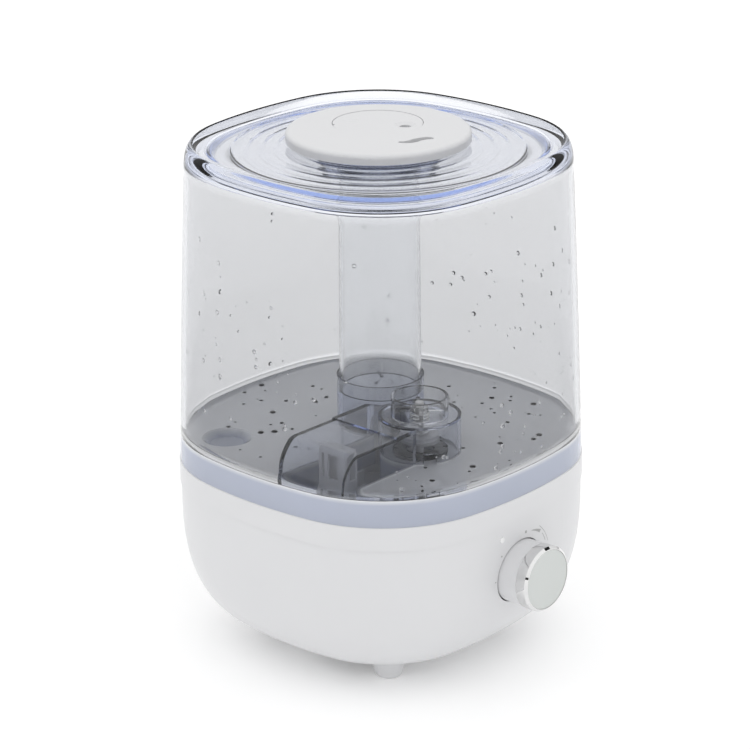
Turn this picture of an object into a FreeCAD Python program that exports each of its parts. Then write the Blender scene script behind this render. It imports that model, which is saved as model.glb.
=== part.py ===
import FreeCAD, Part

import math
import os
import re

import Sketcher

# Cool mist humidifier, top filled, with an ultrasonic mist maker.
# Row frame: millimetres, +Z up, origin at the bottom centre of the whole object's box, feet on z = 0.
# The knob is on the -Y side and the air tunnel in the tank runs to the -X side.
# Every sub-part is modelled about the body's own axis and then shifted by body_offset_y along +Y,
# because the knob stands out on one side and moves the centre of the box.

SIZES = {
    # whole body
    "body_offset_y": 8.5, "seam_z": 105.0, "fit_gap": 0.3,
    # base shell: a bowl with a superellipse profile under a straight upper part
    "bottom_z": 8.3, "bottom_half": 41.4, "curve_top_z": 86.1, "shell_top_z": 91.7,
    "shell_half": 99.4, "shell_wall": 2.4, "cover_r": 74.0, "cover_gap": 0.4,
    # feet
    "foot_place": 43.8, "foot_top_r": 10.9, "foot_bottom_r": 7.0, "foot_tall": 14.0, "foot_round": 1.6,
    # base deck: upper band, deck plate, locating lip, water basin
    "deck_half": 100.0, "deck_low_z": 92.0, "deck_wall": 2.4, "deck_plate": 2.5, "deck_round": 0.8,
    "lip_half": 96.7, "lip_wall": 1.8, "lip_low_z": 87.0, "lip_join_z": 93.6,
    "well_r": 30.0, "well_floor_z": 80.0, "basin_wall": 2.5,
    "valve_x": -15.0, "valve_y": -41.0, "pocket_r": 19.0, "pocket_floor_z": 88.0,
    "trough_low_x": -82.0, "trough_long": 82.0, "trough_low_y": -50.0, "trough_wide": 38.0,
    "trough_floor_z": 97.0, "pin_r": 3.0, "pin_top_z": 106.9,
    "float_x": 24.0, "float_y": -34.0, "float_pocket_r": 13.0, "float_floor_z": 82.0,
    # level float
    "float_r": 10.0, "float_tall": 10.0, "float_lift": 2.0, "float_post_r": 2.5, "float_clip_r": 4.2,
    "float_post_top_z": 104.0, "float_running_gap": 0.3, "float_clip_tall": 1.2, "pin_fin_long": 7.0,
    "pin_fin": 1.4,
    # posts and screws of the bottom cover
    "post_circle_r": 62.0, "post_r": 4.0, "post_low_z": 14.0, "boss_r": 5.6, "screw_r": 1.5,
    "screw_head_r": 2.9, "screw_head_tall": 2.0, "screw_seat_z": 12.2, "screw_top_z": 26.0,
    "screw_head_gap": 0.3, "screw_hole_gap": 0.2, "screw_thread_gap": 0.05, "screw_cross": 0.7,
    "screw_cross_deep": 0.8,
    # knob and potentiometer, on an axis along -Y
    "knob_z": 62.0, "knob_hole_r": 18.1, "skirt_r": 17.5, "skirt_wall": 2.2, "skirt_back_y": -96.5,
    "skirt_front_y": -110.0, "skirt_web": 3.0, "hub_r": 5.5, "hub_back_y": -95.0, "ring_r": 18.0,
    "ring_inner_r": 16.4, "ring_bevel": 1.2, "knob_front_y": -117.0, "face_r": 16.3, "face_recess": 0.25,
    "shaft_r": 3.0, "shaft_front_y": -106.5, "shaft_back_y": -86.5, "shaft_gap": 0.05, "pot_r": 8.5,
    "pot_front_y": -92.0, "board_front_y": -84.0, "board_thick": 1.6, "knob_rib": 1.4, "knob_rib_deep": 8.0,
    "board_long": 40.0, "board_tall": 45.0, "board_low_z": 44.0, "board_boss_r": 2.6,
    "board_boss_long": 14.0, "pot_tab_long": 12.0, "pot_tab_wide": 2.6, "pot_tab_tall": 5.0,
    "pot_leg": 1.0, "pot_leg_tall": 4.0, "pot_leg_pitch": 5.0, "ribbon_long": 14.0, "ribbon_side": 6.0,
    "ribbon_low_z": 47.0, "ribbon_wall": 1.0,
    # indicator
    "lens_x": -15.8, "lens_z": 84.4, "lens_r": 1.6, "lens_back_y": -95.5, "lens_front_y": -99.3,
    "lens_gap": 0.05, "led_r": 1.5, "led_rim_r": 2.0, "led_rim": 1.0, "led_gap": 0.2,
    # power inlet at the back
    "inlet_x": 0.0, "inlet_z": 52.0, "inlet_hole_r": 9.2, "inlet_flange_r": 9.0, "inlet_front_y": 95.6,
    "inlet_long": 14.0, "inlet_mouth_r": 5.25, "inlet_mouth_deep": 3.0, "inlet_socket_r": 2.9,
    "inlet_socket_deep": 12.0, "inlet_pin_r": 1.0, "inlet_pin_gap": 0.6, "bracket_side": 24.0,
    "bracket_thick": 4.0,
    # transducer under the well
    "disc_r": 10.0, "disc_thick": 1.2, "seal_r": 13.0, "seal_thick": 3.5, "seal_bore_r": 8.5,
    "seal_lip": 0.9, "well_hole_r": 11.0, "clamp_r": 24.0, "clamp_thick": 8.0, "clamp_screw_circle_r": 18.5,
    "clamp_window_r": 7.0, "clamp_bore_r": 1.5, "clamp_groove": 2.2, "clamp_groove_deep": 2.5,
    "clamp_groove_pitch": 6.0, "clamp_head_r": 2.5, "clamp_head_tall": 1.8, "clamp_shank_r": 1.25,
    "clamp_shank_in": 1.5, "clamp_hole_r": 1.3, "clamp_hole_deep": 1.8,
    # fan, duct and outlet hood
    "fan_x": -38.0, "fan_y": -20.0, "fan_size": 50.0, "fan_low_z": 30.0, "fan_tall": 15.0,
    "fan_bore_r": 23.5, "fan_hub_r": 10.5, "blade_r": 22.5, "blade_thick": 1.2, "fan_axle_r": 1.5,
    "fan_axle_gap": 0.05, "fan_corner": 20.5, "fan_corner_r": 1.6, "fan_seat_tall": 3.0, "fan_strut": 2.4,
    "fan_strut_tall": 2.0, "rotor_low": 3.5, "rotor_tall": 10.5, "axle_low": 1.2, "blade_wide": 9.5,
    "duct_wall": 1.6, "duct_flange": 2.0, "intake_slot": 2.4, "intake_slot_long": 34.0, "intake_pitch": 5.0,
    "hood_x": -66.2, "hood_y": -29.6, "hood_long": 7.6, "hood_wide": 18.2, "hood_top_z": 133.0,
    "hood_wall": 1.3, "hood_wide_slot": 6.4, "hood_narrow_slot": 1.8, "hood_end_slot": 4.4,
    # tank floor: band, plate, air tunnel, mist shaft, valve tower
    "band_low_half": 99.6, "band_top_half": 99.2, "band_wall": 2.2, "plate_top_z": 119.8, "plate_thick": 2.0,
    "tunnel_front_x": -89.0, "tunnel_back_x": -8.0, "tunnel_low_y": -54.0, "tunnel_wide": 45.0,
    "tunnel_top_z": 139.2, "tunnel_wall": 1.8, "tunnel_nose_x": 13.0, "tunnel_nose_z": 18.0,
    "roof_step_x": -48.0, "roof_step": 1.0,
    "shaft_outer_r": 23.6, "collar_top_z": 149.5, "collar_inner_r": 22.4, "mist_bore_r": 20.6,
    "tube_seat_z": 141.6, "tower_r": 22.0, "tower_wall": 1.8, "tower_top_z": 141.0, "tower_top_thick": 1.8,
    "tower_hole_r": 15.3, "notch_wide": 7.0, "notch_tall": 6.0, "seat_hole_r": 8.0,
    "dimple_x": -67.9, "dimple_y": 49.4, "dimple_r": 13.7, "dimple_floor_r": 9.0, "dimple_deep": 3.2,
    "dimple_wall": 1.6, "rib_thick": 1.6, "rib_low_z": 106.0,
    # locating pad on the deck
    "pad_x": -72.0, "pad_y": 61.0, "pad_r": 9.4, "pad_tall": 3.0,
    # tank wall with its rolled rim
    "wall_thick": 2.2, "wall_mid_z": 190.0, "wall_mid_half": 96.9, "wall_top_z": 268.0,
    "wall_top_half": 93.8,
    "crest_half": 89.4, "crest_z": 280.0, "mouth_half": 79.5, "ledge_z": 272.5, "ledge_low_z": 270.6,
    "recess_half": 83.2, "rim_slope_z": 276.2, "rim_under_z": 269.4,
    # mist tube
    "tube_low_r": 22.2, "tube_top_r": 21.3, "tube_wall": 1.6, "tube_top_z": 270.6,
    # valve
    "valve_ring_r": 15.2, "valve_ring_wall": 1.6, "valve_ring_low_z": 138.6, "valve_ring_top_z": 151.0,
    "valve_seat_r": 15.0, "valve_seat_top_z": 122.2, "valve_rib": 2.0, "valve_rib_in": 1.2,
    "valve_eye_wall": 2.4, "plunger_stem_r": 2.2,
    "plunger_low_z": 107.0, "plunger_top_z": 147.5, "plunger_disc_r": 10.0, "plunger_disc_z": 127.8,
    "plunger_disc_thick": 2.0, "valve_seal_r": 10.6, "valve_seal_thick": 1.6, "guide_z": 142.6,
    "guide_thick": 2.4, "guide_gap": 0.3, "spring_r": 5.0, "spring_wire_r": 0.45, "spring_turns": 6.0,
    # lid
    "lid_half": 82.7, "lid_top_z": 276.2, "lid_edge_tall": 3.6, "lid_thick": 1.8, "lid_dish_r": 77.0,
    "lid_dish": 1.0, "lid_step": 0.65, "lid_hole_r": 30.0, "neck_r": 42.0, "neck_wall": 1.8,
    "neck_top_z": 280.0, "guide_ring_r": 31.8, "guide_ring_low_z": 263.0, "lid_riser": 1.5,
    # mist cap and its turning insert
    "cap_low_z": 280.2, "cap_r": 49.0, "cap_top_z": 285.8, "cap_round": 2.4, "cap_skin": 2.6,
    "cap_skirt_r": 39.8, "cap_skirt_wall": 1.8, "cap_skirt_low_z": 278.1, "insert_r": 23.9,
    "insert_hole_r": 24.2, "insert_seat_r": 21.5, "insert_low_z": 282.9, "insert_top_z": 285.6,
    "insert_x": 8.3, "insert_y": 8.0,
    "insert_seat_wall": 2.0, "outlet_x": 15.5, "outlet_y": -5.0, "outlet_r": 3.1, "outlet_mouth_r": 5.6,
    "outlet_mouth_deep": 1.2, "notch_long": 2.4, "notch_side": 1.6, "notch_deep": 1.0,
    "dent_x": 2.4, "dent_y": 22.2, "dent_r": 14.0, "dent_deep": 0.6, "guard_low_z": 278.4,
    "guard_thick": 1.2, "guard_hole_r": 12.0,
    # boards
    "driver_x": 30.0, "driver_y": 26.0, "driver_long": 58.0, "driver_wide": 44.0, "driver_z": 30.0,
    "driver_post_r": 3.2, "driver_post_in": 5.0, "sink_long": 24.0, "sink_wide": 14.0, "sink_tall": 22.0,
    "sink_shift": 10.0, "sink_gap": 2.2, "sink_pitch": 4.0, "sink_base": 5.0, "coil_x": 34.0, "coil_y": 16.0,
    "coil_r": 7.0, "coil_tall": 9.0, "coil_neck_r": 3.5, "coil_flange": 1.8, "winding_r": 6.2,
}

# A rounded square whose half width is 1: four side arcs and four corner arcs, all tangent.
SIDE_ARC = 2.52
CORNER_ARC = 0.70
CORNER_SHIFT = 0.2786
# Power that turns a circle's sine and cosine into the bowl's superellipse profile.
BOWL_POWER = 0.7228
BOWL_ANGLES = (90, 84, 76, 66, 56, 46, 36, 27, 19, 12, 6, 2.5, 0)

doc = FreeCAD.newDocument("humidifier")
sheet = doc.addObject("Spreadsheet::Sheet", "dims")
for row, (alias, size) in enumerate(SIZES.items(), start=1):
    sheet.set(f"A{row}", alias)
    sheet.set(f"B{row}", str(size))
    sheet.setAlias(f"B{row}", alias)
doc.recompute()

own_y = {}
sub_parts = []


def full(text):
    """Put the sheet's name before every alias of an expression."""
    def named(word):
        return "dims." + word.group() if word.group() in SIZES else word.group()
    return re.sub(r"[a-z][a-z0-9_]*", named, str(text))


def put(feature, x=0, y=0, z=0, turn=None):
    """Place a feature: turn is (axis, angle) and x, y, z are expressions."""
    if turn:
        feature.Placement = FreeCAD.Placement(FreeCAD.Vector(), FreeCAD.Rotation(*turn))
    for axis, text in zip("xyz", (x, y, z)):
        feature.setExpression("Placement.Base." + axis, full(text))
    own_y[feature.Name] = y
    return feature


TO_FRONT = (FreeCAD.Vector(1, 0, 0), 90)
TO_BACK = (FreeCAD.Vector(1, 0, 0), -90)


def cylinder(name, radius, tall, x=0, y=0, z=0, turn=None):
    feature = doc.addObject("Part::Cylinder", name)
    feature.setExpression("Radius", full(radius))
    feature.setExpression("Height", full(tall))
    return put(feature, x, y, z, turn)


def cone(name, low_radius, high_radius, tall, x=0, y=0, z=0, turn=None):
    feature = doc.addObject("Part::Cone", name)
    feature.setExpression("Radius1", full(low_radius))
    feature.setExpression("Radius2", full(high_radius))
    feature.setExpression("Height", full(tall))
    return put(feature, x, y, z, turn)


def box(name, long, wide, tall, x=0, y=0, z=0):
    """A block whose low corner is at x, y, z."""
    feature = doc.addObject("Part::Box", name)
    feature.setExpression("Length", full(long))
    feature.setExpression("Width", full(wide))
    feature.setExpression("Height", full(tall))
    return put(feature, x, y, z)


def block(name, long, wide, tall, x=0, y=0, z=0):
    """A block centred on x, y with its underside at z."""
    return box(name, long, wide, tall, f"{x} - ({long}) / 2", f"{y} - ({wide}) / 2", z)


def turned_block(name, long, wide, tall, x, y, z, angle):
    """A block that runs out from x, y at an angle about +Z, centred across its width."""
    feature = box(name, long, wide, tall)
    reach = math.radians(angle)
    return put(feature, f"{x} + ({wide}) / 2 * {math.sin(reach):.5f}",
               f"{y} - ({wide}) / 2 * {math.cos(reach):.5f}", z,
               (FreeCAD.Vector(0, 0, 1), angle))


def fuse(name, *parts):
    feature = doc.addObject("Part::MultiFuse", name)
    feature.Shapes = list(parts)
    return feature


def common(name, *parts):
    feature = doc.addObject("Part::MultiCommon", name)
    feature.Shapes = list(parts)
    return feature


def cut(name, base, *tools):
    feature = doc.addObject("Part::Cut", name)
    feature.Base = base
    feature.Tool = tools[0] if len(tools) == 1 else fuse(name + "_tools", *tools)
    return feature


def group(name, *parts):
    feature = doc.addObject("Part::Compound", name)
    feature.Links = list(parts)
    return feature


def squircle(name, half, z):
    """A fully constrained rounded-square sketch at height z, with half width half."""
    sketch = doc.addObject("Sketcher::SketchObject", name)
    size = SIZES["shell_half"]
    lean = math.atan2(CORNER_SHIFT, SIDE_ARC - 1 + CORNER_SHIFT)
    up = FreeCAD.Vector(0, 0, 1)
    for quarter in range(4):
        start = quarter * math.pi / 2
        out = FreeCAD.Vector(math.cos(start), math.sin(start), 0)
        side = Part.Circle(out * size * (1 - SIDE_ARC), up, SIDE_ARC * size)
        sketch.addGeometry(Part.ArcOfCircle(side, start - lean, start + lean))
        diagonal = FreeCAD.Vector(out.x - out.y, out.y + out.x, 0)
        corner = Part.Circle(diagonal * CORNER_SHIFT * size, up, CORNER_ARC * size)
        sketch.addGeometry(Part.ArcOfCircle(corner, start + lean, start + math.pi / 2 - lean))
    for arc in range(8):
        sketch.addConstraint(Sketcher.Constraint("Tangent", arc, 2, (arc + 1) % 8, 1))
    for quarter in range(4):
        sketch.addConstraint(Sketcher.Constraint("PointOnObject", 2 * quarter, 3, -1 - quarter % 2))
    for quarter in range(1, 4):
        sketch.addConstraint(Sketcher.Constraint("Equal", 0, 2 * quarter))
        sketch.addConstraint(Sketcher.Constraint("Equal", 1, 2 * quarter + 1))

    def bound(constraint, factor):
        index = sketch.addConstraint(constraint)
        sketch.setExpression(f"Constraints[{index}]", full(f"({half}) * {factor}"))

    bound(Sketcher.Constraint("Radius", 0, SIDE_ARC * size), SIDE_ARC)
    bound(Sketcher.Constraint("Radius", 1, CORNER_ARC * size), CORNER_ARC)
    offset = (SIDE_ARC - 1) * size
    bound(Sketcher.Constraint("DistanceX", 0, 3, -1, 1, offset), SIDE_ARC - 1)
    bound(Sketcher.Constraint("DistanceY", 2, 3, -1, 1, offset), SIDE_ARC - 1)
    bound(Sketcher.Constraint("DistanceX", -1, 1, 4, 3, offset), SIDE_ARC - 1)
    bound(Sketcher.Constraint("DistanceY", -1, 1, 6, 3, offset), SIDE_ARC - 1)
    return put(sketch, z=z)


def loft(name, sections, outline=squircle):
    """A solid through outlines; sections is a list of the outline's sizes."""
    feature = doc.addObject("Part::Loft", name)
    feature.Sections = [outline(f"{name}_{index}", *sizes) for index, sizes in enumerate(sections)]
    feature.Solid = True
    return feature


def prism(name, half, z, tall):
    """An upright rounded-square block."""
    feature = doc.addObject("Part::Extrusion", name)
    feature.Base = squircle(name + "_outline", half, z)
    feature.DirMode = "Normal"
    feature.Solid = True
    feature.setExpression("LengthFwd", full(tall))
    return feature


def rectangle(name, long, wide, x, y, z):
    """A rectangle sketch centred on x, y at height z."""
    sketch = doc.addObject("Sketcher::SketchObject", name)
    corners = [FreeCAD.Vector(*corner, 0) for corner in ((-5, -5), (5, -5), (5, 5), (-5, 5))]
    for index in range(4):
        sketch.addGeometry(Part.LineSegment(corners[index], corners[(index + 1) % 4]))
    for index in range(4):
        sketch.addConstraint(Sketcher.Constraint("Coincident", index, 2, (index + 1) % 4, 1))
    for index, kind in enumerate(("Horizontal", "Vertical", "Horizontal", "Vertical")):
        sketch.addConstraint(Sketcher.Constraint(kind, index))
    sketch.addConstraint(Sketcher.Constraint("Symmetric", 0, 1, 1, 2, -1, 1))
    for kind, edge, size in (("DistanceX", 0, long), ("DistanceY", 1, wide)):
        index = sketch.addConstraint(Sketcher.Constraint(kind, edge, 1, edge, 2, 10))
        sketch.setExpression(f"Constraints[{index}]", full(size))
    return put(sketch, x, y, z)


def fillet(name, base, radius, chosen):
    """Round the edges that chosen picks from the base's shape."""
    doc.recompute()
    feature = doc.addObject("Part::Fillet", name)
    feature.Base = base
    edges = [index for index, edge in enumerate(base.Shape.Edges, start=1) if chosen(edge)]
    feature.Edges = [(index, SIZES[radius], SIZES[radius]) for index in edges]
    return feature


def level(z):
    """Pick the edges that lie flat at height z."""
    def chosen(edge):
        ends = edge.BoundBox
        return abs(ends.ZMin - z) < 0.01 and abs(ends.ZMax - z) < 0.01
    return chosen


def sub_part(node, feature):
    """Name a finished piece and shift it from the body's axis to the row frame."""
    feature.Label = node
    y = own_y.get(feature.Name, 0)
    feature.setExpression("Placement.Base.y", full(f"{y} + body_offset_y"))
    sub_parts.append(feature)
    return feature


# ---------------------------------------------------------------- base shell and bottom cover

def bowl(name, half, low_z, top_z):
    """The bowl's outer or inner form, from its flat bottom to top_z."""
    sections = []
    for angle in BOWL_ANGLES:
        out = math.cos(math.radians(angle)) ** BOWL_POWER if angle < 90 else 0.0
        down = math.sin(math.radians(angle)) ** BOWL_POWER
        sections.append((f"bottom_half + ({half} - bottom_half) * {out:.5f}",
                         f"curve_top_z - (curve_top_z - ({low_z})) * {down:.5f}"))
    sections.append((half, top_z))
    return loft(name, sections)


def around(count, start, circle_r):
    """Expressions of places spaced round the body's axis."""
    places = []
    for index in range(count):
        angle = math.radians(start + 360 * index / count)
        places.append((f"{circle_r} * {math.cos(angle):.5f}", f"{circle_r} * {math.sin(angle):.5f}"))
    return places


POST_START = 65
POST_PLACES = around(4, POST_START, "post_circle_r")
FEET = {
    "foot_front_left": (-1, -1), "foot_front_right": (1, -1),
    "foot_back_left": (-1, 1), "foot_back_right": (1, 1),
}
BOARD_BOSSES = ((-17, 47), (17, 47), (0, 86))
DRIVER_POSTS = [(f"driver_x + {i} * (driver_long / 2 - driver_post_in)",
                 f"driver_y + {j} * (driver_wide / 2 - driver_post_in)")
                for i in (-1, 1) for j in (-1, 1)]


def make_base_shell():
    outer = bowl("bowl_outer", "shell_half", "bottom_z", "shell_top_z")
    inner = bowl("bowl_inner", "shell_half - shell_wall", "bottom_z + shell_wall", "shell_top_z + 4")
    bottom = cylinder("shell_bottom_opening", "cover_r + cover_gap", 30)
    knob_hole = cylinder("knob_hole", "knob_hole_r", 20, 0, -85, "knob_z", TO_FRONT)
    inlet_hole = cylinder("inlet_hole", "inlet_hole_r", 20, "inlet_x", 85, "inlet_z", TO_BACK)
    lens_hole = cylinder("lens_hole", "lens_r + lens_gap", 20, "lens_x", -85, "lens_z", TO_FRONT)
    hollow = cut("shell_hollow", outer, inner)
    walls = cut("shell_walls", hollow, bottom, knob_hole, inlet_hole, lens_hole)
    bosses = []
    for index, (x, z) in enumerate(BOARD_BOSSES):
        boss = cylinder(f"board_boss_{index}", "board_boss_r", "board_boss_long", x, "board_front_y", z,
                        TO_FRONT)
        bosses.append(boss)
    boss_ends = common("board_bosses", fuse("board_boss_rods", *bosses), outer)
    sub_part("base_shell", fuse("shell_with_bosses", walls, boss_ends))
    return outer, hollow


def make_bottom_cover(outer, hollow):
    skin = common("cover_skin", hollow, cylinder("cover_outline", "cover_r", 30))
    bosses = [cylinder(f"cover_boss_{index}", "boss_r", "post_low_z", x, y, 0)
              for index, (x, y) in enumerate(POST_PLACES)]
    posts = [cylinder(f"driver_post_{index}", "driver_post_r", "driver_z", x, y, 0)
             for index, (x, y) in enumerate(DRIVER_POSTS)]
    standing = common("cover_bosses", fuse("cover_boss_rods", *bosses, *posts), outer)
    heads = [cylinder(f"cover_counterbore_{index}", "screw_head_r + screw_head_gap", "screw_seat_z", x, y, 0)
             for index, (x, y) in enumerate(POST_PLACES)]
    holes = [cylinder(f"cover_hole_{index}", "screw_r + screw_hole_gap", 30, x, y, 0)
             for index, (x, y) in enumerate(POST_PLACES)]
    slots = [block(f"intake_slot_{index}", "intake_slot", "intake_slot_long", 30,
                   f"fan_x + intake_pitch * {index - 3.5}", "fan_y", 0) for index in range(8)]
    solid = fuse("cover_solid", skin, standing)
    sub_part("bottom_cover", cut("cover_plate", solid, *heads, *holes, *slots))
    screws = []
    for index, (x, y) in enumerate(POST_PLACES):
        head = cylinder(f"cover_screw_head_{index}", "screw_head_r", "screw_head_tall", x, y,
                        "screw_seat_z - screw_head_tall")
        shank = cylinder(f"cover_screw_shank_{index}", "screw_r", "screw_top_z - screw_seat_z", x, y,
                         "screw_seat_z")
        cross = block(f"cover_screw_cross_{index}", "screw_head_r * 1.2", "screw_cross",
                      "screw_cross_deep + 1", x, y, "screw_seat_z - screw_head_tall - 1")
        screws.append(cut(f"cover_screw_{index}", fuse(f"cover_screw_body_{index}", head, shank), cross))
    sub_part("cover_screws", group("cover_screw_group", *screws))


def make_feet(outer):
    for node, (side_x, side_y) in FEET.items():
        blank = cone(node + "_cone", "foot_bottom_r", "foot_top_r", "foot_tall",
                     f"{side_x} * foot_place", f"{side_y} * foot_place", 0)
        rounded = fillet(node + "_round", blank, "foot_round", level(0.0))
        sub_part(node, cut(node + "_body", rounded, outer))


# ---------------------------------------------------------------- base deck with the water basin

def basin_form(name, extra, top_z):
    """The basin's pockets as one solid; extra grows them outward and downward for the outer side."""
    well = cylinder(name + "_well", f"well_r + {extra}", f"{top_z} - well_floor_z + {extra}",
                    0, 0, f"well_floor_z - {extra}")
    pocket = cylinder(name + "_pocket", f"pocket_r + {extra}", f"{top_z} - pocket_floor_z + {extra}",
                      "valve_x", "valve_y", f"pocket_floor_z - {extra}")
    side = cylinder(name + "_float_pocket", f"float_pocket_r + {extra}",
                    f"{top_z} - float_floor_z + {extra}", "float_x", "float_y", f"float_floor_z - {extra}")
    trough = box(name + "_trough", f"trough_long + 2 * {extra}", f"trough_wide + 2 * {extra}",
                 f"{top_z} - trough_floor_z + {extra}", f"trough_low_x - {extra}",
                 f"trough_low_y - {extra}", f"trough_floor_z - {extra}")
    return fuse(name, well, pocket, side, trough)


def make_base_deck():
    blank = prism("deck_blank", "deck_half", "deck_low_z", "seam_z - deck_low_z")
    rounded = fillet("deck_rounded", blank, "deck_round", level(SIZES["seam_z"]))
    hollow = prism("deck_hollow", "deck_half - deck_wall", "lip_join_z", "seam_z - deck_plate - lip_join_z")
    lip = prism("lip_blank", "lip_half", "lip_low_z", "lip_join_z - lip_low_z")
    lip_hollow = prism("lip_hollow", "lip_half - lip_wall", "lip_low_z", "lip_join_z - lip_low_z")
    posts = [cylinder(f"deck_post_{index}", "post_r", "seam_z - 1 - post_low_z", x, y, "post_low_z")
             for index, (x, y) in enumerate(POST_PLACES)]
    pots = basin_form("basin_outer", "basin_wall", "seam_z - 1")
    walls = cut("deck_walls", fuse("deck_blanks", rounded, lip), hollow, lip_hollow)
    wet = basin_form("basin_inner", "0", "seam_z + 1")
    well_hole = cylinder("well_hole", "well_hole_r", 10, 0, 0, "well_floor_z - 5")
    duct_hole = block("duct_hole", "hood_long - 2 * hood_wall", "hood_wide - 2 * hood_wall", 10,
                      "hood_x", "hood_y", "trough_floor_z - 5")
    screw_holes = [cylinder(f"post_hole_{index}", "screw_r + screw_thread_gap",
                            "screw_top_z + 2 - post_low_z", x, y, "post_low_z")
                   for index, (x, y) in enumerate(POST_PLACES)]
    clamp_holes = [cylinder(f"clamp_hole_{index}", "clamp_hole_r", "clamp_hole_deep", x, y,
                            "well_floor_z - basin_wall")
                   for index, (x, y) in enumerate(around(3, 90, "clamp_screw_circle_r"))]
    hollowed = cut("deck_hollowed", fuse("deck_with_pots", walls, pots, *posts), wet, well_hole, duct_hole,
                   *screw_holes, *clamp_holes)
    pin = cylinder("valve_pin", "pin_r", "pin_top_z - pocket_floor_z + 1", "valve_x", "valve_y",
                   "pocket_floor_z - 1")
    fins = [turned_block(f"pin_fin_{index}", "pin_fin_long", "pin_fin", "seam_z - pocket_floor_z",
                         "valve_x", "valve_y", "pocket_floor_z - 1", 45 + 90 * index) for index in range(4)]
    post = cylinder("float_post", "float_post_r", "float_post_top_z - float_floor_z + 1", "float_x",
                    "float_y", "float_floor_z - 1")
    sub_part("base_deck", fuse("deck_body", hollowed, pin, post, *fins))
    sub_part("locating_pad", cylinder("pad", "pad_r", "pad_tall", "pad_x", "pad_y", "seam_z"))


def make_float():
    ring = cylinder("float_blank", "float_r", "float_tall", "float_x", "float_y",
                    "float_floor_z + float_lift")
    bore = cylinder("float_bore", "float_post_r + float_running_gap", 40, "float_x", "float_y",
                    "float_floor_z - 5")
    hollow = cut("float_bored", ring, bore)
    top_z = SIZES["float_floor_z"] + SIZES["float_lift"] + SIZES["float_tall"]
    sub_part("level_float", fillet("float_rounded", hollow, "foot_round",
                                   lambda edge: level(top_z)(edge) and edge.BoundBox.XLength > 10))
    sub_part("float_clip", cylinder("clip", "float_clip_r", "float_clip_tall", "float_x", "float_y",
                                    "float_post_top_z"))


# ---------------------------------------------------------------- mist maker under the well

def make_transducer():
    floor_z = "well_floor_z - basin_wall"
    ring = cylinder("seal_blank", "seal_r", "seal_thick", 0, 0, f"{floor_z} - seal_thick")
    bore = cylinder("seal_bore", "seal_bore_r", 20, 0, 0, f"{floor_z} - 10")
    groove = cylinder("seal_groove", "disc_r", "disc_thick", 0, 0, f"{floor_z} - seal_lip - disc_thick")
    sub_part("transducer_seal", cut("seal_body", ring, bore, groove))
    sub_part("transducer_disc", cylinder("disc", "disc_r", "disc_thick", 0, 0,
                                         f"{floor_z} - seal_lip - disc_thick"))
    plate = cylinder("clamp_blank", "clamp_r", "clamp_thick", 0, 0, f"{floor_z} - clamp_thick")
    seat = cylinder("clamp_seat", "seal_r", "seal_thick + 1", 0, 0, f"{floor_z} - seal_thick")
    window = cylinder("clamp_window", "clamp_window_r", 20, 0, 0, f"{floor_z} - 15")
    places = around(3, 90, "clamp_screw_circle_r")
    holes = [cylinder(f"clamp_bore_{index}", "clamp_bore_r", 20, x, y, f"{floor_z} - 15")
             for index, (x, y) in enumerate(places)]
    grooves = [block(f"clamp_groove_{index}", "2 * clamp_r + 2", "clamp_groove", "clamp_groove_deep + 1", 0,
                     f"clamp_groove_pitch * {index - 3.5}", f"{floor_z} - clamp_thick - 1")
               for index in range(8)]
    sub_part("transducer_clamp", cut("clamp_body", plate, seat, window, *holes, *grooves))
    screws = []
    for index, (x, y) in enumerate(places):
        head = cylinder(f"clamp_screw_head_{index}", "clamp_head_r", "clamp_head_tall", x, y,
                        f"{floor_z} - clamp_thick - clamp_head_tall")
        shank = cylinder(f"clamp_screw_shank_{index}", "clamp_shank_r", "clamp_thick + clamp_shank_in", x, y,
                         f"{floor_z} - clamp_thick")
        screws.append(fuse(f"clamp_screw_{index}", head, shank))
    sub_part("clamp_screws", group("clamp_screw_group", *screws))


# ---------------------------------------------------------------- fan, duct and outlet hood

BLADES = 7
BLADE_TILT = 38


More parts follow.
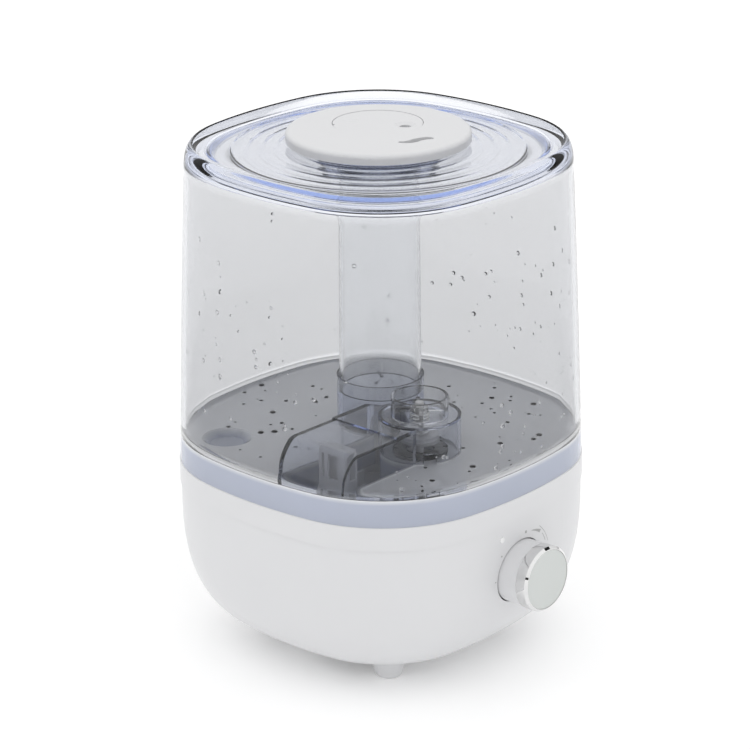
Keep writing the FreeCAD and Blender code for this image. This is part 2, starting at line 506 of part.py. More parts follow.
def make_fan():
    middle = "fan_low_z + fan_tall / 2"
    frame = block("fan_block", "fan_size", "fan_size", "fan_tall", "fan_x", "fan_y", "fan_low_z")
    bore = cylinder("fan_bore", "fan_bore_r", "fan_tall + 2", "fan_x", "fan_y", "fan_low_z - 1")
    corner_holes = [cylinder(f"fan_corner_hole_{i}_{j}", "fan_corner_r", "fan_tall + 2",
                             f"fan_x + fan_corner * {i}", f"fan_y + fan_corner * {j}", "fan_low_z - 1")
                    for i in (-1, 1) for j in (-1, 1)]
    motor = cylinder("fan_motor_seat", "fan_hub_r", "fan_seat_tall", "fan_x", "fan_y", "fan_low_z")
    struts = [turned_block(f"fan_strut_{index}", "fan_bore_r + 0.5", "fan_strut", "fan_strut_tall", "fan_x",
                           "fan_y", "fan_low_z", 45 + 90 * index) for index in range(4)]
    hub_bore = cylinder("fan_bearing_bore", "fan_axle_r + fan_axle_gap", 20, "fan_x", "fan_y",
                        "fan_low_z + 1")
    shell = cut("fan_shell", frame, bore, *corner_holes)
    sub_part("fan_frame", cut("fan_frame_body", fuse("fan_spider", shell, motor, *struts), hub_bore))
    hub = cylinder("rotor_hub", "fan_hub_r", "rotor_tall", "fan_x", "fan_y", "fan_low_z + rotor_low")
    axle = cylinder("rotor_axle", "fan_axle_r", "rotor_low", "fan_x", "fan_y", "fan_low_z + axle_low")
    blades = []
    for index in range(BLADES):
        blade = box(f"rotor_blade_{index}", "blade_r - fan_hub_r + 2", "blade_thick", "blade_wide")
        angle = 360 * index / BLADES
        out = FreeCAD.Rotation(FreeCAD.Vector(0, 0, 1), angle)
        tilt = FreeCAD.Rotation(FreeCAD.Vector(1, 0, 0), BLADE_TILT)
        spin = out.multiply(tilt)
        start = out.multVec(FreeCAD.Vector(1, 0, 0))
        low = spin.multVec(FreeCAD.Vector(0, SIZES["blade_thick"] / 2, SIZES["blade_wide"] / 2))
        put(blade, f"fan_x + (fan_hub_r - 2) * {start.x:.5f} - {low.x:.5f}",
            f"fan_y + (fan_hub_r - 2) * {start.y:.5f} - {low.y:.5f}", f"{middle} + 0.8 - {low.z:.5f}",
            (spin.Axis, math.degrees(spin.Angle)))
        blades.append(blade)
    ring_limit = cylinder("rotor_limit", "blade_r", "rotor_tall", "fan_x", "fan_y", "fan_low_z + rotor_low")
    vanes = common("rotor_vanes", fuse("rotor_blades", *blades), ring_limit)
    sub_part("fan_rotor", fuse("rotor_body", hub, axle, vanes))


def make_duct_and_hood():
    top_z = "fan_low_z + fan_tall"
    roof_z = "trough_floor_z - basin_wall"
    outer = loft("duct_outer", [
        ("fan_size - 1", "fan_size - 1", "fan_x", "fan_y", top_z),
        ("hood_long + 2 * duct_wall", "hood_wide + 2 * duct_wall", "hood_x", "hood_y", roof_z)], rectangle)
    inner = loft("duct_inner", [
        ("fan_size - 1 - 2 * duct_wall", "fan_size - 1 - 2 * duct_wall", "fan_x", "fan_y", top_z),
        ("hood_long - 2 * hood_wall", "hood_wide - 2 * hood_wall", "hood_x", "hood_y", roof_z)], rectangle)
    flange = block("duct_flange_block", "fan_size", "fan_size", "duct_flange", "fan_x", "fan_y", top_z)
    sub_part("air_duct", cut("duct_body", fuse("duct_forms", outer, flange), inner))
    walls = block("hood_block", "hood_long", "hood_wide", "hood_top_z - trough_floor_z", "hood_x", "hood_y",
                  "trough_floor_z")
    hollow = block("hood_hollow", "hood_long - 2 * hood_wall", "hood_wide - 2 * hood_wall",
                   "hood_top_z - hood_wall - trough_floor_z", "hood_x", "hood_y", "trough_floor_z")
    slot_z = "plate_top_z - 2"
    slot_tall = "hood_top_z - hood_wall * 1.6 - plate_top_z + 2"
    wide = block("hood_wide_opening", "hood_long", "hood_wide_slot", slot_tall, "hood_x - hood_long / 2",
                 "hood_y - 0.6", slot_z)
    narrow = block("hood_narrow_opening", "hood_long", "hood_narrow_slot", slot_tall,
                   "hood_x - hood_long / 2", "hood_y + 6.2", slot_z)
    end = block("hood_end_opening", "hood_end_slot", "hood_wide", slot_tall, "hood_x + 0.4",
                "hood_y - hood_wide / 2", slot_z)
    sub_part("air_outlet_hood", cut("hood_body", walls, hollow, wide, narrow, end))


# ---------------------------------------------------------------- knob, potentiometer, indicator

def turned_knob_rib(name, angle):
    """A rib inside the knob from its hub to its skirt."""
    reach = math.radians(angle)
    rib = box(name, "skirt_r - skirt_wall / 2 - hub_r + 1", "knob_rib_deep", "knob_rib")
    turn = FreeCAD.Rotation(FreeCAD.Vector(0, 1, 0), -angle)
    middle = turn.multVec(FreeCAD.Vector(0, 0, SIZES["knob_rib"] / 2))
    return put(rib, f"(hub_r - 1) * {math.cos(reach):.5f} - {middle.x:.5f}", "skirt_front_y + 1",
               f"knob_z + (hub_r - 1) * {math.sin(reach):.5f} - {middle.z:.5f}",
               (FreeCAD.Vector(0, 1, 0), -angle))


def make_knob():
    skirt_long = "skirt_back_y - skirt_front_y"
    skirt = cylinder("skirt_blank", "skirt_r", skirt_long, 0, "skirt_back_y", "knob_z", TO_FRONT)
    hollow = cylinder("skirt_hollow", "skirt_r - skirt_wall", f"{skirt_long} - skirt_web", 0,
                      "skirt_back_y", "knob_z", TO_FRONT)
    hub = cylinder("knob_hub", "hub_r", "hub_back_y - skirt_front_y - 0.5", 0, "hub_back_y", "knob_z",
                   TO_FRONT)
    bore = cylinder("knob_hub_bore", "shaft_r", "shaft_back_y - shaft_front_y", 0, "shaft_back_y",
                    "knob_z", TO_FRONT)
    ribs = [turned_knob_rib(f"knob_rib_{index}", 90 * index) for index in range(4)]
    sub_part("knob_skirt", cut("knob_skirt_body", fuse("knob_forms", cut("skirt_shell", skirt, hollow), hub,
                                                       *ribs), bore))
    ring_long = "skirt_front_y - knob_front_y"
    ring = cylinder("ring_blank", "ring_r", f"{ring_long} - ring_bevel", 0, "skirt_front_y", "knob_z",
                    TO_FRONT)
    bevel = cone("ring_bevel_cone", "ring_r", "ring_r - ring_bevel", "ring_bevel", 0,
                 "knob_front_y + ring_bevel", "knob_z", TO_FRONT)
    bore = cylinder("ring_bore", "ring_inner_r", 40, 0, "skirt_front_y + 5", "knob_z", TO_FRONT)
    sub_part("knob_ring", cut("knob_ring_body", fuse("ring_forms", ring, bevel), bore))
    sub_part("knob_face", cylinder("face_disc", "face_r", f"{ring_long} - face_recess", 0, "skirt_front_y",
                                   "knob_z", TO_FRONT))
    sub_part("pot_shaft", cylinder("shaft", "shaft_r", "shaft_back_y - shaft_front_y", 0, "shaft_back_y",
                                   "knob_z", TO_FRONT))


def make_control_board():
    back_y = "board_front_y + board_thick"
    sub_part("control_board", box("control_board_blank", "board_long", "board_thick", "board_tall",
                                  "-board_long / 2", "board_front_y", "board_low_z"))
    body = cylinder("pot_blank", "pot_r", "board_front_y - pot_front_y", 0, "board_front_y", "knob_z",
                    TO_FRONT)
    bore = cylinder("pot_bore", "shaft_r + shaft_gap", 30, 0, "board_front_y - 1", "knob_z", TO_FRONT)
    legs = [box(f"pot_leg_{index}", "pot_leg", "pot_leg", "pot_leg_tall",
                f"pot_leg_pitch * {index - 1} - pot_leg / 2",
                "board_front_y - pot_tab_wide / 2 - pot_leg / 2",
                "knob_z - pot_r - pot_leg_tall / 2 - 0.5") for index in range(3)]
    tab = box("pot_tab", "pot_tab_long", "pot_tab_wide", "pot_tab_tall", "-pot_tab_long / 2",
              "board_front_y - pot_tab_wide", "knob_z - pot_r - 0.5")
    sub_part("potentiometer", cut("pot_body", fuse("pot_forms", body, tab, *legs), bore))
    socket = box("ribbon_socket_block", "ribbon_long", "ribbon_side", "ribbon_side", "-ribbon_long / 2",
                 back_y, "ribbon_low_z")
    pocket = box("ribbon_socket_pocket", "ribbon_long - 2 * ribbon_wall", "ribbon_side",
                 "ribbon_side - 2 * ribbon_wall", "ribbon_wall - ribbon_long / 2",
                 f"{back_y} + 2 * ribbon_wall", "ribbon_low_z + ribbon_wall")
    sub_part("ribbon_socket", cut("ribbon_socket_body", socket, pocket))
    sub_part("indicator_lens", cylinder("lens", "lens_r", "lens_back_y - lens_front_y", "lens_x",
                                        "lens_back_y", "lens_z", TO_FRONT))
    bulb = cylinder("led_bulb", "led_r", "board_front_y - lens_back_y - led_gap", "lens_x", "board_front_y",
                    "lens_z", TO_FRONT)
    rim = cylinder("led_rim_ring", "led_rim_r", "led_rim", "lens_x", "board_front_y", "lens_z", TO_FRONT)
    sub_part("indicator_led", fuse("led_body", bulb, rim))


# ---------------------------------------------------------------- power inlet and driver board

def make_power_inlet():
    back_y = "inlet_front_y - inlet_long"
    body = cylinder("inlet_blank", "inlet_flange_r", "inlet_long", "inlet_x", back_y, "inlet_z", TO_BACK)
    mouth = cylinder("inlet_mouth", "inlet_mouth_r", "inlet_mouth_deep + 1", "inlet_x",
                     "inlet_front_y - inlet_mouth_deep", "inlet_z", TO_BACK)
    socket = cylinder("inlet_socket", "inlet_socket_r", "inlet_socket_deep", "inlet_x",
                      "inlet_front_y - inlet_socket_deep", "inlet_z", TO_BACK)
    sub_part("power_inlet", cut("inlet_body", body, mouth, socket))
    sub_part("inlet_pin", cylinder(
        "pin", "inlet_pin_r", "inlet_socket_deep - inlet_mouth_deep - inlet_pin_gap", "inlet_x",
        "inlet_front_y - inlet_socket_deep", "inlet_z", TO_BACK))
    sub_part("inlet_bracket", block("inlet_bracket_block", "bracket_side", "bracket_thick",
                                    "bracket_side", "inlet_x", f"{back_y} - bracket_thick / 2",
                                    "inlet_z - bracket_side / 2"))


# Radius, height and place on the board of each capacitor.
CAPACITORS = ((5, 16, 14, 8), (4, 12, 22, -4), (3.2, 11, -20, -12))


def make_driver_board():
    top_z = "driver_z + board_thick"
    sub_part("driver_board", block("driver_board_blank", "driver_long", "driver_wide", "board_thick",
                                   "driver_x", "driver_y", "driver_z"))
    sink_x = "driver_x - sink_shift"
    sink_y = "driver_y + sink_shift"
    sink = block("sink_block", "sink_long", "sink_wide", "sink_tall", sink_x, sink_y, top_z)
    gaps = [block(f"sink_gap_{index}", "sink_gap", "sink_wide + 2", "sink_tall",
                  f"{sink_x} + sink_pitch * {index}", sink_y, f"{top_z} + sink_base")
            for index in range(-2, 3)]
    sub_part("driver_heat_sink", cut("sink_body", sink, *gaps))
    caps = [cylinder(f"capacitor_{index}", radius, tall, f"driver_x + {x}", f"driver_y + {y}", top_z)
            for index, (radius, tall, x, y) in enumerate(CAPACITORS)]
    sub_part("capacitors", group("capacitor_group", *caps))

    def coil_ring(name, radius):
        return cylinder(name, radius, "coil_tall - 2 * coil_flange", "coil_x", "coil_y",
                        f"{top_z} + coil_flange")

    core = cylinder("coil_core_blank", "coil_r", "coil_tall", "coil_x", "coil_y", top_z)
    groove = cut("coil_groove", coil_ring("coil_waist_outer", "coil_r + 1"),
                 coil_ring("coil_waist_inner", "coil_neck_r"))
    sub_part("coil_core", cut("coil_core_body", core, groove))
    sub_part("coil_winding", cut("coil_winding_body", coil_ring("coil_winding_outer", "winding_r"),
                                 coil_ring("coil_winding_hole", "coil_neck_r")))


# ---------------------------------------------------------------- tank

def nose_profile(name, shift, low_z):
    """Side view of the air tunnel: straight roof and a quarter ellipse down to the front."""
    sketch = doc.addObject("Sketcher::SketchObject", name)
    front = SIZES["tunnel_front_x"] + shift
    roof = SIZES["tunnel_top_z"] - shift
    back = SIZES["tunnel_back_x"]
    nose_x = SIZES["tunnel_nose_x"]
    nose_z = SIZES["tunnel_nose_z"] - shift
    points = [FreeCAD.Vector(front, low_z, 0), FreeCAD.Vector(front, roof - nose_z, 0)]
    for angle in (30, 60, 90):
        points.append(FreeCAD.Vector(front + nose_x * (1 - math.cos(math.radians(angle))),
                                     roof - nose_z + nose_z * math.sin(math.radians(angle)), 0))
    spline = Part.BSplineCurve()
    spline.interpolate(points[1:], InitialTangent=FreeCAD.Vector(0, 1, 0),
                       FinalTangent=FreeCAD.Vector(1, 0, 0))
    sketch.addGeometry(Part.LineSegment(points[0], points[1]))
    sketch.addGeometry(spline)
    sketch.addGeometry(Part.LineSegment(points[-1], FreeCAD.Vector(back, roof, 0)))
    sketch.addGeometry(Part.LineSegment(FreeCAD.Vector(back, roof, 0), FreeCAD.Vector(back, low_z, 0)))
    sketch.addGeometry(Part.LineSegment(FreeCAD.Vector(back, low_z, 0), points[0]))
    return put(sketch, turn=(FreeCAD.Vector(1, 0, 0), 90))


def tunnel_form(name, shift, low_z):
    """The air tunnel's outer form, or with a shift its hollow."""
    feature = doc.addObject("Part::Extrusion", name)
    feature.Base = nose_profile(name + "_profile", SIZES["tunnel_wall"] if shift else 0.0, low_z)
    feature.DirMode = "Custom"
    feature.Dir = FreeCAD.Vector(0, 1, 0)
    feature.Solid = True
    inset = "tunnel_wall" if shift else "0"
    feature.setExpression("LengthFwd", full(f"tunnel_wide - 2 * {inset}"))
    return put(feature, 0, f"tunnel_low_y + {inset}", 0)


RIB_PLACES = ((-88.0, -56.8), (3.0, -74.4))


def make_tank_floor():
    low_z = SIZES["seam_z"] + SIZES["fit_gap"]
    band = loft("band_outer", [("band_low_half", "seam_z"), ("band_top_half", "plate_top_z")])
    band_hollow = loft("band_inner", [
        ("band_low_half - band_wall", "seam_z"),
        ("band_top_half - band_wall", "plate_top_z - plate_thick")])
    shell = cut("band_shell", band, band_hollow)
    tunnel = tunnel_form("tunnel_outer", False, SIZES["plate_top_z"] - 0.5)
    inside = loft("band_inside", [("band_low_half - band_wall / 2", "seam_z"),
                                  ("band_top_half - band_wall / 2", "plate_top_z")])
    lower_box = box("tunnel_lower_box", "tunnel_back_x + band_low_half", "tunnel_wide",
                    "plate_top_z - seam_z - fit_gap", "-band_low_half", "tunnel_low_y", "seam_z + fit_gap")
    lower = common("tunnel_lower", lower_box, inside)
    shaft = cylinder("mist_shaft", "shaft_outer_r", "collar_top_z - seam_z - fit_gap", 0, 0,
                     "seam_z + fit_gap")
    tower = cylinder("tower_outer", "tower_r", "tower_top_z - seam_z - 8", "valve_x", "valve_y",
                     "seam_z + 8")
    boss = cylinder("dimple_boss", "dimple_r + dimple_wall", "plate_thick + dimple_deep - 1", "dimple_x",
                    "dimple_y", "plate_top_z - plate_thick - dimple_deep")
    start, finish = RIB_PLACES
    run = FreeCAD.Vector(finish[0] - start[0], finish[1] - start[1], 0)
    rib_block = turned_block("guide_rib_block", run.Length, "rib_thick", "plate_top_z - 1 - rib_low_z",
                             start[0], start[1], "rib_low_z", math.degrees(math.atan2(run.y, run.x)))
    rib = common("guide_rib", rib_block, inside)
    step = box("roof_step_block", "tunnel_back_x - roof_step_x", "tunnel_wide", "roof_step + 0.5",
               "roof_step_x", "tunnel_low_y", "tunnel_top_z - 0.5")
    solid = fuse("tank_floor_solid", shell, tunnel, step, lower, shaft, tower, boss, rib)

    keep_tower = cylinder("tower_keep", "tower_r", 60, "valve_x", "valve_y", "seam_z - 1")
    air = cut("tunnel_air", tunnel_form("tunnel_inner", True, low_z - 1), keep_tower)
    lower_space = common("tunnel_lower_space", band_hollow, box(
        "tunnel_lower_inner", "tunnel_back_x + band_low_half", "tunnel_wide - 2 * tunnel_wall", 30,
        "-band_low_half", "tunnel_low_y + tunnel_wall", "seam_z - 1"))
    lower_air = cut("tunnel_lower_air", lower_space, keep_tower)
    mist = cylinder("mist_bore", "mist_bore_r", 60, 0, 0, "seam_z - 1")
    collar = cylinder("collar_bore", "collar_inner_r", 20, 0, 0, "tube_seat_z")
    wet = cylinder("tower_inner", "tower_r - tower_wall", "tower_top_z - tower_top_thick - plate_top_z",
                   "valve_x", "valve_y", "plate_top_z")
    drain = cylinder("tower_drain", "tower_r - tower_wall", "plate_top_z - plate_thick - seam_z + 1",
                     "valve_x", "valve_y", "seam_z - 1")
    wet_clear = cut("tower_wet", fuse("tower_spaces", wet, drain),
                    cylinder("shaft_keep", "shaft_outer_r", 60, 0, 0, "seam_z - 1"))
    top_hole = cylinder("tower_top_hole", "tower_hole_r", 10, "valve_x", "valve_y", "tower_top_z - 5")
    seat_hole = cylinder("valve_seat_hole", "seat_hole_r", 20, "valve_x", "valve_y", "plate_top_z - 5")
    notch = turned_block("inlet_notch", 30, "notch_wide", "notch_tall", "valve_x", "valve_y",
                         "plate_top_z", -124)
    dimple = cone("dimple_cone", "dimple_floor_r", "dimple_r", "dimple_deep + 0.01", "dimple_x", "dimple_y",
                  "plate_top_z - dimple_deep")
    body = cut("tank_floor_body", solid, air, lower_air, mist, collar, wet_clear, top_hole, seat_hole, notch,
               dimple)
    sub_part("tank_floor", body)


def make_tank_wall():
    """The clear wall with a rolled rim that slopes in to the lid's ledge."""
    outer = [("band_top_half", "plate_top_z"), ("(band_top_half + wall_mid_half) / 2 + 0.1",
             "(plate_top_z + wall_mid_z) / 2"), ("wall_mid_half", "wall_mid_z"),
             ("(wall_mid_half + wall_top_half) / 2 + 0.15", "(wall_mid_z + wall_top_z) / 2"),
             ("wall_top_half", "wall_top_z")]
    main = loft("wall_outer", outer)
    shoulder = []
    for angle in (0, 18, 36, 54, 72, 90):
        reach = math.radians(angle)
        shoulder.append((f"crest_half + (wall_top_half - crest_half) * {math.cos(reach):.5f}",
                         f"wall_top_z + (crest_z - wall_top_z) * {math.sin(reach):.5f}"))
    rim = loft("rim_outer", shoulder)
    inner = loft("wall_inner", [(f"{half} - wall_thick", z) for half, z in outer[:-1]]
                 + [("wall_top_half - wall_thick + 0.1", "rim_under_z")])
    under = loft("rim_under", [("wall_top_half - wall_thick + 0.1", "rim_under_z"),
                               ("mouth_half + 2", "ledge_low_z")])
    mouth = prism("tank_mouth", "mouth_half", "rim_under_z", 30)
    recess = prism("lid_recess", "recess_half", "ledge_z", 20)
    slope = []
    for angle in (0, 30, 60, 85):
        reach = math.radians(angle)
        slope.append((f"recess_half + (crest_half - recess_half) * {math.sin(reach):.5f}",
                      f"rim_slope_z + (crest_z - rim_slope_z) * {1 - math.cos(reach):.5f}"))
    slope.append(("crest_half + 0.1", "crest_z + 0.2"))
    bevel = loft("rim_slope", slope)
    sub_part("tank_wall", cut("tank_wall_body", fuse("tank_wall_solid", main, rim), inner, under, mouth,
                              recess, bevel))


def make_mist_tube():
    outer = cone("tube_outer", "tube_low_r", "tube_top_r", "tube_top_z - tube_seat_z", 0, 0, "tube_seat_z")
    inner = cone("tube_inner", "tube_low_r - tube_wall", "tube_top_r - tube_wall",
                 "tube_top_z - tube_seat_z", 0, 0, "tube_seat_z")
    sub_part("mist_tube", cut("tube_body", outer, inner))


# ---------------------------------------------------------------- tank valve

def make_valve():
    ring = cylinder("valve_ring_blank", "valve_ring_r", "valve_ring_top_z - valve_ring_low_z", "valve_x",
                    "valve_y", "valve_ring_low_z")
    bore = cylinder("valve_ring_bore", "valve_ring_r - valve_ring_wall", 40, "valve_x", "valve_y",
                    "valve_ring_low_z - 5")
    seat = cylinder("valve_seat_ring", "valve_seat_r", "valve_seat_top_z - plate_top_z", "valve_x",
                    "valve_y", "plate_top_z")
    seat_bore = cylinder("valve_seat_bore", "seat_hole_r", 20, "valve_x", "valve_y", "plate_top_z - 5")
    ribs = []
    for index in range(4):
        angle = 45 + 90 * index
        reach = math.radians(angle)
        start = "(valve_ring_r - valve_ring_wall - valve_rib_in)"
        ribs.append(turned_block(f"valve_rib_{index}", "valve_ring_wall + 1", "valve_rib",
                                 "valve_ring_low_z - plate_top_z + 1",
                                 f"valve_x + {start} * {math.cos(reach):.5f}",
                                 f"valve_y + {start} * {math.sin(reach):.5f}", "plate_top_z", angle))
    spokes = [turned_block(f"valve_spoke_{index}", "valve_ring_r - 0.5", "valve_rib", "guide_thick",
                           "valve_x", "valve_y", "guide_z", 45 + 90 * index) for index in range(4)]
    eye = cylinder("valve_eye", "plunger_stem_r + valve_eye_wall", "guide_thick", "valve_x", "valve_y",
                   "guide_z")
    eye_bore = cylinder("valve_eye_bore", "plunger_stem_r + guide_gap", 20, "valve_x", "valve_y",
                        "guide_z - 5")
    cage = fuse("valve_cage_forms", cut("valve_ring", ring, bore), cut("valve_seat", seat, seat_bore),
                *ribs, *spokes, eye)
    sub_part("valve_cage", cut("valve_cage_body", cage, eye_bore))
    stem = cylinder("plunger_stem", "plunger_stem_r", "plunger_top_z - plunger_low_z", "valve_x", "valve_y",
                    "plunger_low_z")
    disc = cylinder("plunger_disc", "plunger_disc_r", "plunger_disc_thick", "valve_x", "valve_y",
                    "plunger_disc_z")
    sub_part("valve_plunger", fuse("plunger_body", stem, disc))
    seal = cylinder("valve_seal_blank", "valve_seal_r", "valve_seal_thick", "valve_x", "valve_y",
                    "plunger_disc_z - valve_seal_thick")
    seal_bore = cylinder("valve_seal_bore", "plunger_stem_r", 20, "valve_x", "valve_y",
                         "plunger_disc_z - 10")
    sub_part("valve_seal", cut("valve_seal_body", seal, seal_bore))
    low_z = SIZES["plunger_disc_z"] + SIZES["plunger_disc_thick"] + SIZES["spring_wire_r"]
    tall = SIZES["guide_z"] - SIZES["spring_wire_r"] - low_z
    coil = doc.addObject("Part::Helix", "spring_line")
    coil.setExpression("Radius", full("spring_r"))
    coil.Height = tall
    coil.Pitch = tall / SIZES["spring_turns"]
    put(coil, "valve_x", "valve_y", low_z)
    wire = doc.addObject("Part::Circle", "spring_section")
    wire.setExpression("Radius", full("spring_wire_r"))
    put(wire, "valve_x + spring_r", "valve_y", low_z, (FreeCAD.Vector(1, 0, 0), 90))
    spring = doc.addObject("Part::Sweep", "spring_sweep")
    spring.Sections = [wire]
    spring.Spine = (coil, [])
    spring.Solid = True
    spring.Frenet = True
    sub_part("valve_spring", spring)


# ---------------------------------------------------------------- lid and mist cap

LID_STEP_RADII = (70.0, 62.0, 54.0, 47.0)


def make_lid():
    edge_low_z = "lid_top_z - lid_edge_tall"
    plate = prism("lid_blank", "lid_half", edge_low_z, "lid_edge_tall")
    rounded = fillet("lid_rounded", plate, "deck_round", level(SIZES["lid_top_z"]))
    dish = cylinder("lid_dish_cut", "lid_dish_r", 10, 0, 0, "lid_top_z - lid_dish")
    hollow = prism("lid_hollow", "lid_half - lid_thick", f"{edge_low_z} - 1",
                   "lid_edge_tall - lid_thick + 1")
    under = cylinder("lid_under", "lid_dish_r - lid_riser", "lid_thick", 0, 0,
                     "lid_top_z - lid_dish - lid_thick")
    skin = fuse("lid_skin", cut("lid_frame", rounded, dish, hollow), under)
    steps = []
    hollows = []
    for index, radius in enumerate(LID_STEP_RADII, start=1):
        rise = f"lid_step * {index}"
        steps.append(cylinder(f"lid_step_{index}", radius, f"lid_thick + {rise}", 0, 0,
                              "lid_top_z - lid_dish - lid_thick"))
        hollows.append(cylinder(f"lid_step_under_{index}", f"{radius} - lid_riser", rise, 0, 0,
                                "lid_top_z - lid_dish - lid_thick"))
    neck = cylinder("neck_blank", "neck_r", "neck_top_z - lid_top_z", 0, 0, "lid_top_z")
    neck_bore = cylinder("neck_bore", "neck_r - neck_wall", 20, 0, 0,
                         f"lid_top_z - lid_dish + lid_step * {len(LID_STEP_RADII)}")
    guide = cylinder("guide_blank", "guide_ring_r", "lid_top_z - guide_ring_low_z", 0, 0,
                     "guide_ring_low_z")
    bore = cylinder("lid_bore", "lid_hole_r", 60, 0, 0, "guide_ring_low_z - 5")
    stepped = cut("lid_stepped", fuse("lid_forms", skin, *steps, neck), *hollows, neck_bore)
    sub_part("lid", cut("lid_body", fuse("lid_with_guide", stepped, guide), bore))


def swoosh(name, z, tall):
    """The cap's mist slot: an S made of four arcs, thick at one end and thin at the other."""
    sketch = doc.addObject("Sketcher::SketchObject", name + "_outline")
    arcs = (((-12.4, -26.4), (-8.8, -30.6), (-3.4, -31.8)), ((-3.4, -31.8), (0.8, -32.6), (4.0, -34.8)),
            ((4.0, -34.8), (5.6, -31.4), (3.2, -28.8)), ((3.2, -28.8), (-0.8, -27.2), (-4.6, -26.6)),
            ((-4.6, -26.6), (-8.2, -26.2), (-10.8, -24.4)), ((-10.8, -24.4), (-12.4, -24.8), (-12.4, -26.4)))
    for points in arcs:
        sketch.addGeometry(Part.Arc(*[FreeCAD.Vector(x, y, 0) for x, y in points]))
    put(sketch, z=z)
    feature = doc.addObject("Part::Extrusion", name)
    feature.Base = sketch
    feature.DirMode = "Normal"
    feature.Solid = True
    feature.setExpression("LengthFwd", full(tall))
    return feature


def make_mist_cap():
    disc = cylinder("cap_blank", "cap_r", "cap_top_z - cap_low_z", 0, 0, "cap_low_z")
    rounded = fillet("cap_rounded", disc, "cap_round", level(SIZES["cap_top_z"]))
    under = cylinder("cap_under", "cap_skirt_r - cap_skirt_wall", "cap_top_z - cap_skin - cap_low_z", 0, 0,
                     "cap_low_z")
    skirt = cylinder("cap_skirt_blank", "cap_skirt_r", "cap_low_z - cap_skirt_low_z + 1", 0, 0,
                     "cap_skirt_low_z")
    skirt_bore = cylinder("cap_skirt_bore", "cap_skirt_r - cap_skirt_wall", 30, 0, 0,
                          "cap_skirt_low_z - 1")
    seat = cylinder("insert_seat", "insert_hole_r + insert_seat_wall",
                    "cap_top_z - cap_skin - cap_low_z + 1", "insert_x", "insert_y", "cap_low_z")
    hole = cylinder("insert_hole", "insert_hole_r", 10, "insert_x", "insert_y", "insert_low_z")
    way = cylinder("insert_way", "insert_seat_r", 20, "insert_x", "insert_y", "cap_low_z - 5")
    ring = cut("cap_ring", skirt, skirt_bore)
    disc_body = cut("cap_disc", rounded, under)
    body = cut("cap_body", fuse("cap_forms", disc_body, ring, seat), hole, way,
               swoosh("mist_slot", "cap_low_z - 5", 20))
    sub_part("mist_cap", body)
    plate = cylinder("insert_blank", "insert_r", "insert_top_z - insert_low_z", "insert_x", "insert_y",
                     "insert_low_z")
    outlet = cylinder("outlet_bore", "outlet_r", 20, "outlet_x", "outlet_y", "insert_low_z - 10")
    funnel = cone("outlet_funnel", "outlet_r", "outlet_mouth_r", "outlet_mouth_deep", "outlet_x",
                  "outlet_y", "insert_top_z - outlet_mouth_deep + 0.01")
    notch = block("insert_notch", "notch_long", "notch_side", "notch_deep + 1",
                  "insert_x - insert_r * 0.766", "insert_y + insert_r * 0.643", "insert_top_z - notch_deep")
    ball = doc.addObject("Part::Sphere", "finger_dent")
    ball.setExpression("Radius", full("dent_r"))
    put(ball, "dent_x", "dent_y", "insert_top_z + dent_r - dent_deep")
    sub_part("nozzle_insert", cut("insert_body", plate, outlet, funnel, notch, ball))
    guard = cylinder("guard_blank", "cap_skirt_r - cap_skirt_wall", "guard_thick", 0, 0, "guard_low_z")
    guard_hole = cylinder("guard_hole", "guard_hole_r", 10, 0, 0, "guard_low_z - 5")
    sub_part("splash_guard", cut("guard_body", guard, guard_hole))


bowl_outer, bowl_hollow = make_base_shell()
make_bottom_cover(bowl_outer, bowl_hollow)
make_feet(bowl_outer)
make_base_deck()
make_float()
make_transducer()
make_fan()
make_duct_and_hood()
make_knob()
make_control_board()
make_power_inlet()
make_driver_board()
make_tank_floor()
make_tank_wall()
make_mist_tube()
make_valve()
make_lid()
make_mist_cap()

doc.recompute()
problems = [f"{item.Name}: {item.State}" for item in doc.Objects
            if "Invalid" in item.State or "Error" in item.State]
for piece in sub_parts:
    if piece.Shape.isNull() or not piece.Shape.isValid() or not piece.Shape.Solids:
        problems.append(f"{piece.Label}: no valid solid")
if problems:
    raise RuntimeError("\n".join(problems))

os.makedirs("parts", exist_ok=True)
for piece in sub_parts:
    piece.Shape.exportStep(f"parts/{piece.Label}.step")
    print(f"{piece.Label}: {len(piece.Shape.Solids)} solid(s), {piece.Shape.Volume:.0f} mm3")
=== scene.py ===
"""Looks of the cool mist humidifier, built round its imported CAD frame."""

import math
import random

import bpy
from mathutils import Matrix, Vector
from mathutils.bvhtree import BVHTree


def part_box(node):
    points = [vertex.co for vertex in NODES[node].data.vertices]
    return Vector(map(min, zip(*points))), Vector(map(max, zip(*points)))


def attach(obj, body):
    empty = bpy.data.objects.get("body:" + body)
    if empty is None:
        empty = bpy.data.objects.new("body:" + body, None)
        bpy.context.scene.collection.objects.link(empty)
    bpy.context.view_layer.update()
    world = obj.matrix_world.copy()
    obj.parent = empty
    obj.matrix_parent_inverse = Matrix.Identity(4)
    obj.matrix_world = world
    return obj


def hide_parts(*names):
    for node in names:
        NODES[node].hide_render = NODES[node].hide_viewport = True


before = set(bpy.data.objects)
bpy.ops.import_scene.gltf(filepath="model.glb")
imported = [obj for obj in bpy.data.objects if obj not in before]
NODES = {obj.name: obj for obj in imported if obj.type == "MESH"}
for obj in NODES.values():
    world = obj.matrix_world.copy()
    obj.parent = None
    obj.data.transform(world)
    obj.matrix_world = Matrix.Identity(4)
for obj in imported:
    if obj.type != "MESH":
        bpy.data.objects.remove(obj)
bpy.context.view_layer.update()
MM = 0.001

# ---------------------------------------------------------------- materials


